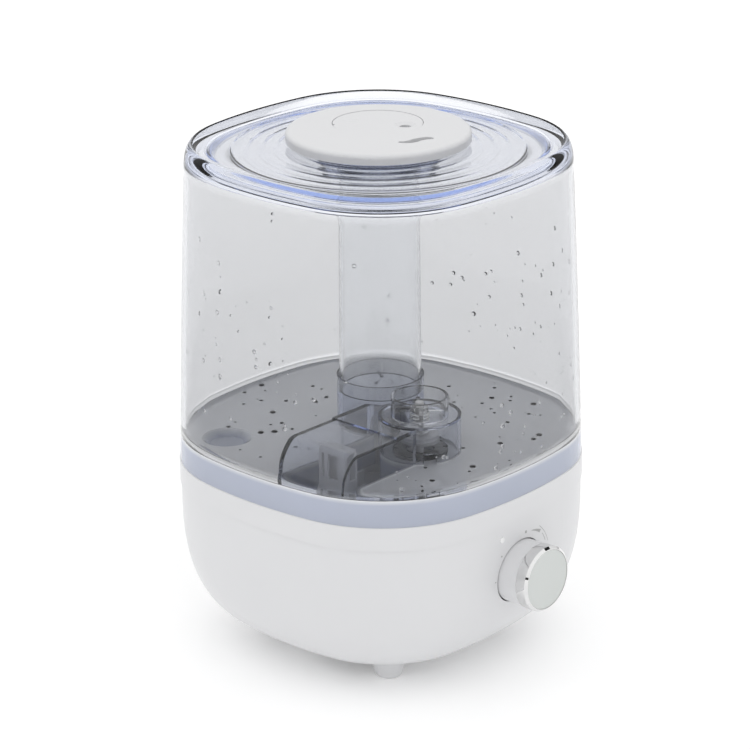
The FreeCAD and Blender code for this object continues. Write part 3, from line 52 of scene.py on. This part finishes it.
class Paint:
    """Builds one node material step by step."""

    def __init__(self, name):
        self.material = bpy.data.materials.new(name)
        self.material.use_nodes = True
        self.tree = self.material.node_tree
        self.shader = self.tree.nodes["Principled BSDF"]
        self.output = self.tree.nodes["Material Output"]
        self.place = self.tree.nodes.new("ShaderNodeTexCoord").outputs["Object"]

    def set(self, **values):
        for socket, value in values.items():
            self.shader.inputs[socket.replace("_", " ")].default_value = value
        return self

    def link(self, start, end):
        self.tree.links.new(start, end)

    def noise(self, scale, detail=3.0, stretch=(1.0, 1.0, 1.0)):
        """A noise value of about 0 to 1, its size given by the scale in cells per metre."""
        mapping = self.tree.nodes.new("ShaderNodeMapping")
        mapping.inputs["Scale"].default_value = stretch
        self.link(self.place, mapping.inputs["Vector"])
        texture = self.tree.nodes.new("ShaderNodeTexNoise")
        texture.inputs["Scale"].default_value = scale
        texture.inputs["Detail"].default_value = detail
        self.link(mapping.outputs["Vector"], texture.inputs["Vector"])
        return texture.outputs["Fac"]

    def ranged(self, value, low, high):
        """The value 0.3 to 0.7, which noise mostly covers, stretched over low to high."""
        node = self.tree.nodes.new("ShaderNodeMapRange")
        node.inputs["From Min"].default_value = 0.3
        node.inputs["From Max"].default_value = 0.7
        node.inputs["To Min"].default_value = low
        node.inputs["To Max"].default_value = high
        self.link(value, node.inputs["Value"])
        return node.outputs["Result"]

    def colours(self, value, first, second):
        """A colour between two, chosen by the value."""
        node = self.tree.nodes.new("ShaderNodeMix")
        node.data_type = "RGBA"
        node.inputs["A"].default_value = (*first, 1.0)
        node.inputs["B"].default_value = (*second, 1.0)
        self.link(self.ranged(value, 0.0, 1.0), node.inputs["Factor"])
        self.link(node.outputs["Result"], self.shader.inputs["Base Color"])
        return self

    def roughness(self, value, low, high):
        self.link(self.ranged(value, low, high), self.shader.inputs["Roughness"])
        return self

    def bump(self, value, depth):
        """Relief of the given depth in metres."""
        node = self.tree.nodes.new("ShaderNodeBump")
        node.inputs["Strength"].default_value = 1.0
        node.inputs["Distance"].default_value = depth
        self.link(value, node.inputs["Height"])
        self.link(node.outputs["Normal"], self.shader.inputs["Normal"])
        return self

    def banded(self, value, *stops):
        """A colour along a value of 0 to 1; stops are (value, colour)."""
        node = self.tree.nodes.new("ShaderNodeValToRGB")
        while len(node.color_ramp.elements) < len(stops):
            node.color_ramp.elements.new(0.5)
        for element, (position, colour) in zip(node.color_ramp.elements, stops):
            element.position = position
            element.color = (*colour, 1.0)
        self.link(value, node.inputs["Fac"])
        return node.outputs["Color"]

    def drifted(self, colour, value, low, high):
        """The base colour, made a little lighter and darker by a value."""
        node = self.tree.nodes.new("ShaderNodeMix")
        node.data_type = "RGBA"
        node.blend_type = "MULTIPLY"
        node.inputs["Factor"].default_value = 1.0
        self.link(colour, node.inputs["A"])
        self.link(self.ranged(value, low, high), node.inputs["B"])
        self.link(node.outputs["Result"], self.shader.inputs["Base Color"])
        return self

    def share(self, axis):
        """How far along the piece's own box a point lies, from 0 to 1."""
        box = self.tree.nodes.new("ShaderNodeTexCoord").outputs["Generated"]
        parts = self.tree.nodes.new("ShaderNodeSeparateXYZ")
        self.link(box, parts.inputs["Vector"])
        return parts.outputs[axis]

    def sums(self, operation, first, second):
        """A sum of two values, each a socket or a number."""
        node = self.tree.nodes.new("ShaderNodeMath")
        node.operation = operation
        for socket, value in zip(node.inputs, (first, second)):
            if isinstance(value, (int, float)):
                socket.default_value = value
            else:
                self.link(value, socket)
        return node.outputs["Value"]

    def absorb(self, colour, density):
        """The tint that light takes on along its way inside the solid."""
        node = self.tree.nodes.new("ShaderNodeVolumeAbsorption")
        node.inputs["Color"].default_value = (*colour, 1.0)
        node.inputs["Density"].default_value = density
        self.link(node.outputs["Volume"], self.output.inputs["Volume"])
        return self


def moulded(name, first, second, rough, grain=2600.0, depth=4e-6, coat=0.0):
    """Moulded plastic: a soft colour drift, uneven gloss and a fine moulded grain."""
    paint = Paint(name)
    paint.colours(paint.noise(18.0), first, second)
    paint.roughness(paint.noise(60.0, 4.0), *rough)
    paint.bump(paint.noise(grain, 2.0), depth)
    paint.set(IOR=1.49, Specular_IOR_Level=0.5, Coat_Weight=coat, Coat_Roughness=0.08)
    return paint.material


def clear(name, first, second, rough, wave=3e-5, tint=(1.0, 1.0, 1.0), density=0.0, ior=1.49):
    """Clear moulded plastic: faint flow marks, slight waviness and a tint that grows with depth."""
    paint = Paint(name)
    paint.colours(paint.noise(14.0), first, second)
    paint.roughness(paint.noise(45.0, 4.0), *rough)
    paint.bump(paint.noise(55.0, 1.0, (1.0, 1.0, 0.45)), wave)
    paint.set(IOR=ior, Transmission_Weight=1.0)
    if density:
        paint.absorb(tint, density)
    return paint.material


def metal(name, first, second, rough, grain=900.0, stretch=(1.0, 1.0, 1.0), depth=3e-6):
    """Metal with fine wear in its colour and gloss and a directional grain."""
    paint = Paint(name)
    paint.colours(paint.noise(120.0, 4.0, stretch), first, second)
    paint.roughness(paint.noise(240.0, 4.0, stretch), *rough)
    paint.bump(paint.noise(grain, 2.0, stretch), depth)
    paint.set(Metallic=1.0)
    return paint.material


def grey(value):
    return (value, value, value)


def tall_share(node, height):
    """The share of a node's height at which a level in millimetres lies."""
    low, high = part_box(node)
    return (height * MM - low.z) / (high.z - low.z)


def tank_wall_paint():
    """Clear grey wall whose rim, seen edge on, is lighter."""
    paint = Paint("clear_plastic")
    rim = tall_share("tank_wall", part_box("tank_wall")[1].z / MM - 15.0)
    tone = paint.banded(paint.share("Z"), (0.0, (0.975, 0.98, 0.99)), (0.018, (0.975, 0.98, 0.99)),
                        (0.026, (0.755, 0.757, 0.76)), (rim, (0.805, 0.807, 0.81)),
                        (rim + 0.03, (0.94, 0.944, 0.95)), (1.0, (0.975, 0.98, 0.985)))
    paint.drifted(tone, paint.noise(14.0), 0.99, 1.0)
    paint.roughness(paint.noise(45.0, 4.0), 0.0, 0.01)
    paint.bump(paint.noise(55.0, 1.0, (1.0, 1.0, 0.45)), 1.5e-5)
    paint.set(IOR=1.27, Transmission_Weight=1.0)
    paint.absorb(BLUE_TINT, 9.0)
    return paint.material


def tank_floor_paint():
    """Blue plastic: milky up to the top of the plate, clear above it."""
    paint = Paint("blue_clear_plastic")
    plate = tall_share("tank_floor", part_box("tank_wall")[0].z / MM)
    height = paint.share("Z")
    tone = paint.banded(height, (0.0, (0.60, 0.645, 0.77)), (plate - 0.06, (0.60, 0.645, 0.77)),
                        (plate - 0.01, (0.93, 0.95, 0.99)), (plate + 0.03, (0.985, 0.99, 1.0)))
    paint.drifted(tone, paint.noise(22.0), 0.975, 1.0)
    clearness = paint.banded(height, (0.0, grey(0.36)), (plate - 0.02, grey(0.3)),
                             (plate + 0.01, grey(0.16)), (plate + 0.03, grey(0.97)))
    paint.link(clearness, paint.shader.inputs["Transmission Weight"])
    paint.roughness(paint.noise(45.0, 4.0), 0.0, 0.02)
    paint.bump(paint.noise(55.0, 1.0), 1.5e-5)
    paint.set(IOR=1.49)
    paint.absorb(BLUE_TINT, 42.0)
    return paint.material


def lid_paint():
    """Clear blue-tinted lid; the upright faces round its outer edge get a deep blue base colour, painted
    edge glow on top of the plastic's own blue.
    """
    paint = Paint("lid_plastic")
    across = paint.sums("SUBTRACT", paint.share("X"), 0.5)
    along = paint.sums("SUBTRACT", paint.share("Y"), 0.5)
    square = paint.sums("ADD", paint.sums("MULTIPLY", across, across), paint.sums("MULTIPLY", along, along))
    outer = paint.sums("GREATER_THAN", paint.sums("SQRT", square, 0.0), 0.485)
    facing = paint.tree.nodes.new("ShaderNodeSeparateXYZ")
    paint.link(paint.tree.nodes.new("ShaderNodeTexCoord").outputs["Normal"], facing.inputs["Vector"])
    upright = paint.sums("SUBTRACT", 1.0, paint.sums("ABSOLUTE", facing.outputs["Z"], 0.0))
    # Painted edge glow: upright faces near the lid's outer edge are coloured deep blue.
    tone = paint.banded(paint.sums("MULTIPLY", outer, upright), (0.0, (0.88, 0.883, 0.888)),
                        (0.45, (0.88, 0.883, 0.888)), (0.8, (0.26, 0.40, 0.95)))
    paint.drifted(tone, paint.noise(14.0), 0.985, 1.0)
    paint.roughness(paint.noise(45.0, 4.0), 0.0, 0.02)
    paint.bump(paint.noise(55.0, 1.0), 1.5e-5)
    paint.set(IOR=1.38, Transmission_Weight=1.0)
    paint.absorb(BLUE_TINT, 48.0)
    return paint.material


BLUE_TINT = (0.42, 0.56, 0.98)

PAINTS = {
    "white_plastic": moulded("white_plastic", (0.70, 0.703, 0.717), (0.71, 0.713, 0.725), (0.28, 0.31)),
    # A lighter copy of the white plastic: painted light for the outlet hood, locating pad and valve plunger.
    "painted_light_white_plastic": moulded("painted_light_white_plastic", (0.93, 0.93, 0.94), (0.95, 0.95, 0.955), (0.3, 0.36)),
    "clear_plastic": tank_wall_paint(),
    "lid_plastic": lid_paint(),
    "frosted_plastic": clear("frosted_plastic", (0.98, 0.985, 0.99), (0.985, 0.99, 0.995), (0.05, 0.1),
                             tint=BLUE_TINT, density=6.0),
    "blue_clear_plastic": tank_floor_paint(),
    "chrome_trim": metal("chrome_trim", grey(0.72), grey(0.78), (0.01, 0.03), depth=2e-7),
    "grey_plastic": moulded("grey_plastic", grey(0.5), grey(0.56), (0.4, 0.5)),
    "black_plastic": moulded("black_plastic", grey(0.03), grey(0.045), (0.35, 0.5)),
    "foam_plastic": moulded("foam_plastic", (0.74, 0.74, 0.71), (0.8, 0.8, 0.78), (0.7, 0.85),
                            grain=900.0, depth=8e-5),
    "clip_plastic": moulded("clip_plastic", grey(0.62), grey(0.68), (0.3, 0.4)),
    "seal_rubber": moulded("seal_rubber", grey(0.03), grey(0.05), (0.6, 0.75), grain=1500.0, depth=1e-5),
    "face_plastic": moulded("face_plastic", (0.61, 0.635, 0.62), (0.625, 0.65, 0.635), (0.3, 0.34)),
    "bright_steel": metal("bright_steel", grey(0.82), grey(0.88), (0.25, 0.35)),
    "steel": metal("steel", grey(0.5), grey(0.6), (0.22, 0.36)),
    "aluminium": metal("aluminium", grey(0.68), grey(0.76), (0.3, 0.45), stretch=(1.0, 1.0, 12.0)),
    "circuit_board": moulded("circuit_board", (0.015, 0.12, 0.05), (0.02, 0.15, 0.065), (0.25, 0.4)),
    "capacitor_sleeve": moulded("capacitor_sleeve", (0.02, 0.03, 0.09), (0.03, 0.04, 0.12), (0.25, 0.35)),
    "copper_winding": metal("copper_winding", (0.5, 0.19, 0.07), (0.6, 0.26, 0.1), (0.25, 0.4),
                            stretch=(1.0, 1.0, 14.0), depth=2e-5),
    "contact_metal": metal("contact_metal", (0.7, 0.58, 0.3), (0.78, 0.66, 0.38), (0.18, 0.3)),
    "lens_plastic": moulded("lens_plastic", grey(0.9), grey(0.94), (0.1, 0.15), depth=1e-6, coat=1.0),
    "water": clear("water", grey(0.99), grey(1.0), (0.0, 0.0), wave=0.0, ior=1.31),
    "printed_grey": moulded("printed_grey", grey(0.36), grey(0.4), (0.4, 0.5), depth=1e-6),
}

# Nodes painted other than their slot's usual one. The outlet hood, locating pad and valve plunger take the
# lighter copy of the white plastic, which is painted light; the valve seal, spring and knob face differ a
# little in finish.
OWN_PAINT = {"air_outlet_hood": "painted_light_white_plastic", "locating_pad": "painted_light_white_plastic",
             "valve_plunger": "painted_light_white_plastic", "valve_seal": "clip_plastic",
             "valve_spring": "bright_steel", "knob_face": "face_plastic"}

for name, node in NODES.items():
    used = node.data.materials[0].name.split(".")[0]
    node.data.materials[0] = PAINTS[OWN_PAINT.get(name, used)]

# ---------------------------------------------------------------- ring-built pieces

# A rounded square of half width 1 is made of side arcs and corner arcs, all tangent.
SIDE_ARC = 2.52
CORNER_ARC = 0.70
CORNER_SHIFT = 0.2786
ARC_JOIN = math.radians(21.68)
STEPS_ROUND = 288


def square_reach(angle):
    """How far the unit rounded square reaches in a direction."""
    angle = angle % (math.pi / 2)
    if angle > math.pi / 4:
        angle = math.pi / 2 - angle
    if angle < ARC_JOIN:
        along, off, arc = (1 - SIDE_ARC) * math.cos(angle), (1 - SIDE_ARC) ** 2, SIDE_ARC
    else:
        along = CORNER_SHIFT * (math.cos(angle) + math.sin(angle))
        off, arc = 2 * CORNER_SHIFT ** 2, CORNER_ARC
    return along + math.sqrt(along ** 2 - off + arc ** 2)


def arc_points(centre, reach, start, finish, count):
    """Points on a quarter ellipse, given by its centre, its two reaches and the angles in degrees."""
    points = []
    for step in range(count + 1):
        turn = math.radians(start + (finish - start) * step / count)
        points.append((centre[0] + reach[0] * math.cos(turn), centre[1] + reach[1] * math.sin(turn)))
    return points


def ring_piece(name, profile, centre, paint, body, replaced):
    """A closed body of rings; profile holds (half width, squareness, height) in millimetres."""
    points, faces = [], []
    for half, squareness, height in profile:
        for step in range(STEPS_ROUND):
            angle = 2 * math.pi * step / STEPS_ROUND
            reach = half * (squareness * square_reach(angle) + 1 - squareness) * MM
            points.append((centre.x + reach * math.cos(angle), centre.y + reach * math.sin(angle),
                           height * MM))
    rings = len(profile)
    for ring in range(rings):
        low, high = ring * STEPS_ROUND, (ring + 1) % rings * STEPS_ROUND
        for step in range(STEPS_ROUND):
            after = (step + 1) % STEPS_ROUND
            faces.append((low + step, low + after, high + after, high + step))
    mesh = bpy.data.meshes.new(name)
    mesh.from_pydata(points, [], faces)
    mesh.polygons.foreach_set("use_smooth", [True] * len(faces))
    mesh.materials.append(paint)
    piece = bpy.data.objects.new(name, mesh)
    bpy.context.scene.collection.objects.link(piece)
    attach(piece, body)
    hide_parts(replaced)
    return piece


def middle(node):
    low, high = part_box(node)
    return (low + high) / 2


lid_low, lid_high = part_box("lid")
lid_half = (lid_high.x - lid_low.x) / 2 / MM
lid_top = lid_high.z / MM - 3.8
DISH = 1.0
RIPPLES = ((70.0, 0.65), (62.0, 0.65), (54.0, 0.65), (47.0, 0.65))
RIPPLE_WIDE = 3.6
THICK = 1.8


def lid_rise(radius):
    """Height of the lid's rippled dish over its lowest part."""
    rise = 0.0
    for middle_r, step in RIPPLES:
        share = min(1.0, max(0.0, (middle_r + RIPPLE_WIDE / 2 - radius) / RIPPLE_WIDE))
        rise += step * share * share * (3 - 2 * share)
    return rise


def lid_profile():
    dish_top = lid_top - DISH
    radii = [75.4 - 0.6 * index for index in range(54)]
    top = [(lid_half, 1, lid_top - 3.3), (lid_half, 1, lid_top - 0.9), (lid_half - 0.25, 1, lid_top - 0.3),
           (lid_half - 0.9, 1, lid_top), (lid_half - 1.3, 1, lid_top), (79.9, 0.5, lid_top),
           (78.0, 0, lid_top), (77.6, 0, lid_top), (77.2, 0, lid_top - 0.12), (76.8, 0, lid_top - 0.5),
           (76.4, 0, dish_top + 0.12), (76.0, 0, dish_top)]
    top += [(radius, 0, dish_top + lid_rise(radius)) for radius in radii]
    neck_low = dish_top + lid_rise(42.0)
    top += [(42.9, 0, neck_low), (42.3, 0, neck_low + 0.2), (42.0, 0, neck_low + 0.7),
            (42.0, 0, lid_top + 3.4), (41.7, 0, lid_top + 3.75), (41.4, 0, lid_top + 3.8),
            (40.7, 0, lid_top + 3.8), (40.4, 0, lid_top + 3.7), (40.2, 0, lid_top + 3.4),
            (40.2, 0, neck_low + 0.5), (39.8, 0, neck_low), (31.0, 0, neck_low), (30.2, 0, neck_low - 0.1),
            (30.0, 0, neck_low - 0.5), (30.0, 0, lid_low.z / MM + 0.4), (30.3, 0, lid_low.z / MM),
            (31.5, 0, lid_low.z / MM), (31.8, 0, lid_low.z / MM + 0.4), (31.8, 0, neck_low - THICK - 0.5),
            (32.3, 0, neck_low - THICK)]
    under = [(radius, 0, dish_top + lid_rise(radius + 0.6) - THICK) for radius in reversed(radii)]
    edge = [(76.6, 0, dish_top - THICK), (77.4, 0, dish_top - THICK + 0.3), (77.9, 0, lid_top - THICK - 0.2),
            (78.4, 0, lid_top - THICK), (79.4, 0.5, lid_top - THICK), (lid_half - 2.4, 1, lid_top - THICK),
            (lid_half - 1.8, 1, lid_top - THICK - 0.4), (lid_half - 1.8, 1, lid_top - 3.3),
            (lid_half - 1.5, 1, lid_top - 3.6), (lid_half - 0.3, 1, lid_top - 3.6)]
    return top + under + edge


def unfold(profile):
    """The profile without rings that turn back on their neighbours."""
    return [ring for index, ring in enumerate(profile) if ring != profile[index - 1]]


tank_middle = middle("tank_wall")
ring_piece("lid_clear", unfold(lid_profile()), middle("lid"), PAINTS["lid_plastic"],
           "lid", "lid")

wall_low, wall_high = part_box("tank_wall")
WALL = 2.2
wall_half = (wall_high.x - wall_low.x) / 2 / MM
wall_foot = wall_low.z / MM
crest = wall_high.z / MM
shoulder = crest - 12.0


def wall_reach(height):
    """Half width of the wall's outside, which leans in a little more towards the top."""
    share = (height - wall_foot) / (shoulder - wall_foot)
    return wall_half - 4.365 * share - 1.035 * share ** 2


def wall_profile():
    heights = [wall_foot + (shoulder - wall_foot) * index / 24 for index in range(25)]
    outer = [(wall_reach(height), 1, height) for height in heights]
    shoulder_reach = (wall_reach(shoulder) - crest_half, 12.0)
    outer += [(x, 1, z) for x, z in arc_points((crest_half, shoulder), shoulder_reach, 10, 90, 10)]
    slope = [(x, 1, z) for x, z in arc_points((recess, crest), (crest_half - recess, -3.8), 8, 90, 8)]
    rim = [(recess, 1, crest - 4.4), (recess, 1, crest - 7.0), (recess - 0.15, 1, crest - 7.35),
           (recess - 0.5, 1, crest - 7.5), (mouth + 0.5, 1, crest - 7.5), (mouth + 0.1, 1, crest - 7.6),
           (mouth, 1, crest - 8.0), (mouth, 1, crest - 9.0), (mouth + 0.1, 1, crest - 9.3),
           (mouth + 0.5, 1, crest - 9.4), (mouth + 2.0, 1, crest - 9.5), (88.0, 1, crest - 10.2),
           (90.2, 1, crest - 10.7), (91.1, 1, crest - 11.2), (91.5, 1, crest - 12.0),
           (wall_reach(crest - 14.0) - WALL, 1, crest - 14.0)]
    inner = [(wall_reach(height) - WALL, 1, height) for height in reversed(heights[:-1])]
    return outer + slope + rim + inner


crest_half = 89.4
recess = 83.2
mouth = 79.5
ring_piece("tank_wall_clear", unfold(wall_profile()), tank_middle, PAINTS["clear_plastic"],
           "tank", "tank_wall")

# ---------------------------------------------------------------- drops and printed marks


def surface_of(node):
    """The node's surface in the frame, ready for rays."""
    mesh = NODES[node].data
    place = NODES[node].matrix_world
    corners = [place @ vertex.co for vertex in mesh.vertices]
    return BVHTree.FromPolygons(corners, [tuple(polygon.vertices) for polygon in mesh.polygons])


def one_mesh(name, points, faces, paint, body):
    mesh = bpy.data.meshes.new(name)
    mesh.from_pydata(points, [], faces)
    mesh.polygons.foreach_set("use_smooth", [True] * len(faces))
    mesh.materials.append(paint)
    piece = bpy.data.objects.new(name, mesh)
    bpy.context.scene.collection.objects.link(piece)
    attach(piece, body)
    return piece


DROP_SIDES = 12
DROP_RINGS = 4


def add_drop(points, faces, foot, normal, reach, tall):
    """A flattened drop that sits on a surface."""
    first = len(points)
    side = normal.orthogonal().normalized()
    other = normal.cross(side)
    for ring in range(DROP_RINGS):
        lift = math.pi / 2 * ring / DROP_RINGS
        for step in range(DROP_SIDES):
            turn = 2 * math.pi * step / DROP_SIDES
            flat = (side * math.cos(turn) + other * math.sin(turn)) * reach * math.cos(lift)
            points.append(foot + flat + normal * tall * math.sin(lift))
    points.append(foot + normal * tall)
    top = first + DROP_RINGS * DROP_SIDES
    for ring in range(DROP_RINGS - 1):
        for step in range(DROP_SIDES):
            low = first + ring * DROP_SIDES
            after = (step + 1) % DROP_SIDES
            faces.append((low + step, low + after, low + DROP_SIDES + after, low + DROP_SIDES + step))
    last = top - DROP_SIDES
    for step in range(DROP_SIDES):
        faces.append((last + step, last + (step + 1) % DROP_SIDES, top))
    faces.append(tuple(first + step for step in reversed(range(DROP_SIDES))))


def wall_drops(points, faces, chance, turns, levels, count):
    """Drops on the inside of the tank's wall."""
    for _ in range(count):
        angle = math.radians(chance.uniform(*turns))
        height = wall_foot + chance.triangular(*levels)
        reach = (wall_reach(height) - WALL - 0.02) * square_reach(angle) * MM
        outward = Vector((math.cos(angle), math.sin(angle), 0.0))
        foot = Vector((tank_middle.x, tank_middle.y, height * MM)) + outward * reach
        size = chance.uniform(0.4, 1.0) ** 2 * 1.5 * MM
        add_drop(points, faces, foot, -outward, size, size * 0.55)


def floor_drops(points, faces, chance, surface, count):
    """Drops on the flat parts of the tank's floor."""
    for _ in range(count):
        angle = chance.uniform(0.0, 2 * math.pi)
        reach = math.sqrt(chance.uniform(0.1, 0.95)) * (wall_half - 6) * MM
        start = tank_middle + Vector((math.cos(angle), math.sin(angle), 0.0)) * reach
        above = Vector((start.x, start.y, (wall_foot + 4) * MM))
        hit, normal, _, _ = surface.ray_cast(above, Vector((0, 0, -1)))
        if hit and normal.z > 0.99 and abs(hit.z / MM - wall_foot) < 1.0:
            size = chance.uniform(0.45, 1.0) ** 2 * 1.8 * MM
            add_drop(points, faces, hit, Vector((0, 0, 1)), size, size * 0.5)


chance = random.Random(11)
drop_points, drop_faces = [], []
wall_drops(drop_points, drop_faces, chance, (150, 215), (4, 130, 60), 45)
wall_drops(drop_points, drop_faces, chance, (225, 300), (2, 60, 12), 40)
wall_drops(drop_points, drop_faces, chance, (300, 375), (4, 120, 40), 60)
wall_drops(drop_points, drop_faces, chance, (15, 145), (2, 110, 20), 35)
floor_drops(drop_points, drop_faces, chance, surface_of("tank_floor"), 110)
one_mesh("water_drops", drop_points, drop_faces, PAINTS["water"], "tank")

knob_middle = middle("knob_ring")
shell_surface = surface_of("base_shell")
PRINT_PROUD = 0.04 * MM


def printed(x, z):
    """The point of the shell's front at x and z from the knob's axis, in millimetres."""
    start = Vector((knob_middle.x + x * MM, knob_middle.y - 0.1, knob_middle.z + z * MM))
    hit = shell_surface.ray_cast(start, Vector((0, 1, 0)))[0]
    return hit + Vector((0, -PRINT_PROUD, 0))


def arc_mark(points, faces, first, last, wide, steps=24):
    """A printed arc; first and last are (angle, radius), wide its two widths."""
    base = len(points)
    for step in range(steps + 1):
        share = step / steps
        angle = math.radians(first[0] + (last[0] - first[0]) * share)
        radius = first[1] + (last[1] - first[1]) * share
        half = (wide[0] + (wide[1] - wide[0]) * share) / 2
        for reach in (radius - half, radius + half):
            points.append(printed(reach * math.cos(angle), reach * math.sin(angle)))
    for step in range(steps):
        low = base + 2 * step
        faces.append((low, low + 2, low + 3, low + 1))


mark_points, mark_faces = [], []
arc_mark(mark_points, mark_faces, (83.4, 21.4), (79.2, 21.4), (1.5, 1.5), 8)
arc_mark(mark_points, mark_faces, (68.5, 21.9), (48.0, 23.6), (0.3, 2.0))
arc_mark(mark_points, mark_faces, (54.0, 25.6), (22.0, 25.0), (0.35, 0.3))
arc_mark(mark_points, mark_faces, (42.0, 23.6), (27.0, 23.2), (0.3, 0.45))
arc_mark(mark_points, mark_faces, (141.6, 20.5), (139.2, 20.5), (1.0, 1.0), 8)
arc_mark(mark_points, mark_faces, (183.8, 19.4), (182.0, 19.4), (0.8, 0.8), 8)
one_mesh("dial_marks", mark_points, mark_faces, PAINTS["printed_grey"], "base")

# ---------------------------------------------------------------- stage


def flat_panel(name, half, place, material):
    mesh = bpy.data.meshes.new(name)
    corners = [(-half, -half, 0), (half, -half, 0), (half, half, 0), (-half, half, 0)]
    mesh.from_pydata([Vector(c) + Vector(place) for c in corners], [], [(0, 1, 2, 3)])
    mesh.materials.append(material)
    panel = bpy.data.objects.new(name, mesh)
    bpy.context.scene.collection.objects.link(panel)
    return panel


floor_paint = Paint("floor_paper")
floor_paint.colours(floor_paint.noise(3.0), grey(0.93), grey(0.95))
floor_paint.roughness(floor_paint.noise(20.0), 0.7, 0.8)
floor_paint.set(Specular_IOR_Level=0.1, Emission_Color=(1.0, 1.0, 1.0, 1.0), Emission_Strength=0.14)
flat_panel("floor", 12.0, (0.0, 0.0, 0.0), floor_paint.material)

world = bpy.data.worlds.new("studio")
bpy.context.scene.world = world
world.use_nodes = True
air = world.node_tree
sky = air.nodes["Background"]
way = air.nodes.new("ShaderNodeTexCoord").outputs["Generated"]
apart = air.nodes.new("ShaderNodeSeparateXYZ")
air.links.new(way, apart.inputs["Vector"])


def sky_ramp(*stops):
    """Brightness of the sky by height: stops are (sine of the elevation, grey)."""
    node = air.nodes.new("ShaderNodeValToRGB")
    while len(node.color_ramp.elements) < len(stops):
        node.color_ramp.elements.new(0.5)
    for element, (height, tone) in zip(node.color_ramp.elements, stops):
        element.position = height
        element.color = (tone, tone, tone, 1.0)
    air.links.new(apart.outputs["Z"], node.inputs["Fac"])
    return node.outputs["Color"]


ahead = air.nodes.new("ShaderNodeVectorMath")
ahead.operation = "DOT_PRODUCT"
ahead.inputs[1].default_value = (0.35, 0.94, 0.0)
air.links.new(way, ahead.inputs[0])
spread = air.nodes.new("ShaderNodeMapRange")
spread.interpolation_type = "SMOOTHSTEP"
spread.inputs["From Min"].default_value = -0.5
spread.inputs["From Max"].default_value = 0.2
air.links.new(ahead.outputs["Value"], spread.inputs["Value"])
blend = air.nodes.new("ShaderNodeMix")
blend.data_type = "RGBA"
air.links.new(spread.outputs["Result"], blend.inputs["Factor"])
air.links.new(sky_ramp((0.0, 0.03), (0.08, 0.03), (0.11, 1.0), (1.0, 1.16)), blend.inputs["A"])
air.links.new(sky_ramp((0.0, 0.6), (0.1, 0.65), (0.14, 0.87), (0.5, 0.9), (0.62, 1.05), (1.0, 1.18)),
              blend.inputs["B"])
# A round dark patch in the sky, which polished parts mirror as a dark facet.
FLAG_WAY = Vector((0.69, -0.33, 0.60)).normalized()
FLAG_RADIUS = math.radians(10.0)
flag = air.nodes.new("ShaderNodeVectorMath")
flag.operation = "DOT_PRODUCT"
flag.inputs[1].default_value = FLAG_WAY
air.links.new(way, flag.inputs[0])
clear_of_flag = air.nodes.new("ShaderNodeMath")
clear_of_flag.operation = "LESS_THAN"
clear_of_flag.inputs[1].default_value = math.cos(FLAG_RADIUS)
air.links.new(flag.outputs["Value"], clear_of_flag.inputs[0])
flagged = air.nodes.new("ShaderNodeMix")
flagged.data_type = "RGBA"
flagged.inputs["A"].default_value = (0.02, 0.02, 0.02, 1.0)
air.links.new(clear_of_flag.outputs["Value"], flagged.inputs["Factor"])
air.links.new(blend.outputs["Result"], flagged.inputs["B"])
air.links.new(flagged.outputs["Result"], sky.inputs["Color"])
sky.inputs["Strength"].default_value = 1.0


bpy.context.scene.view_settings.view_transform = "Standard"

# The camera looks down from the front left, about 1.7 m away, with a long lens.
CAMERA_PLACE = Vector((-1.1796, -1.0567, 0.7447))
CAMERA_AIM = Vector((-0.0020, 0.0107, 0.1480))
CAMERA_ROLL = math.radians(-0.509)
CAMERA_LENS = 151.24

eye = bpy.data.cameras.new("camera")
eye.lens = CAMERA_LENS
eye.sensor_width = 36.0
camera = bpy.data.objects.new("camera", eye)
bpy.context.scene.collection.objects.link(camera)
back = (CAMERA_PLACE - CAMERA_AIM).normalized()
level_right = Vector((0.0, 0.0, 1.0)).cross(back).normalized()
level_up = back.cross(level_right)
right = level_right * math.cos(CAMERA_ROLL) + level_up * math.sin(CAMERA_ROLL)
up = level_up * math.cos(CAMERA_ROLL) - level_right * math.sin(CAMERA_ROLL)
turn = Matrix((right, up, back)).transposed()
camera.matrix_world = Matrix.Translation(CAMERA_PLACE) @ turn.to_4x4()
bpy.context.scene.camera = camera
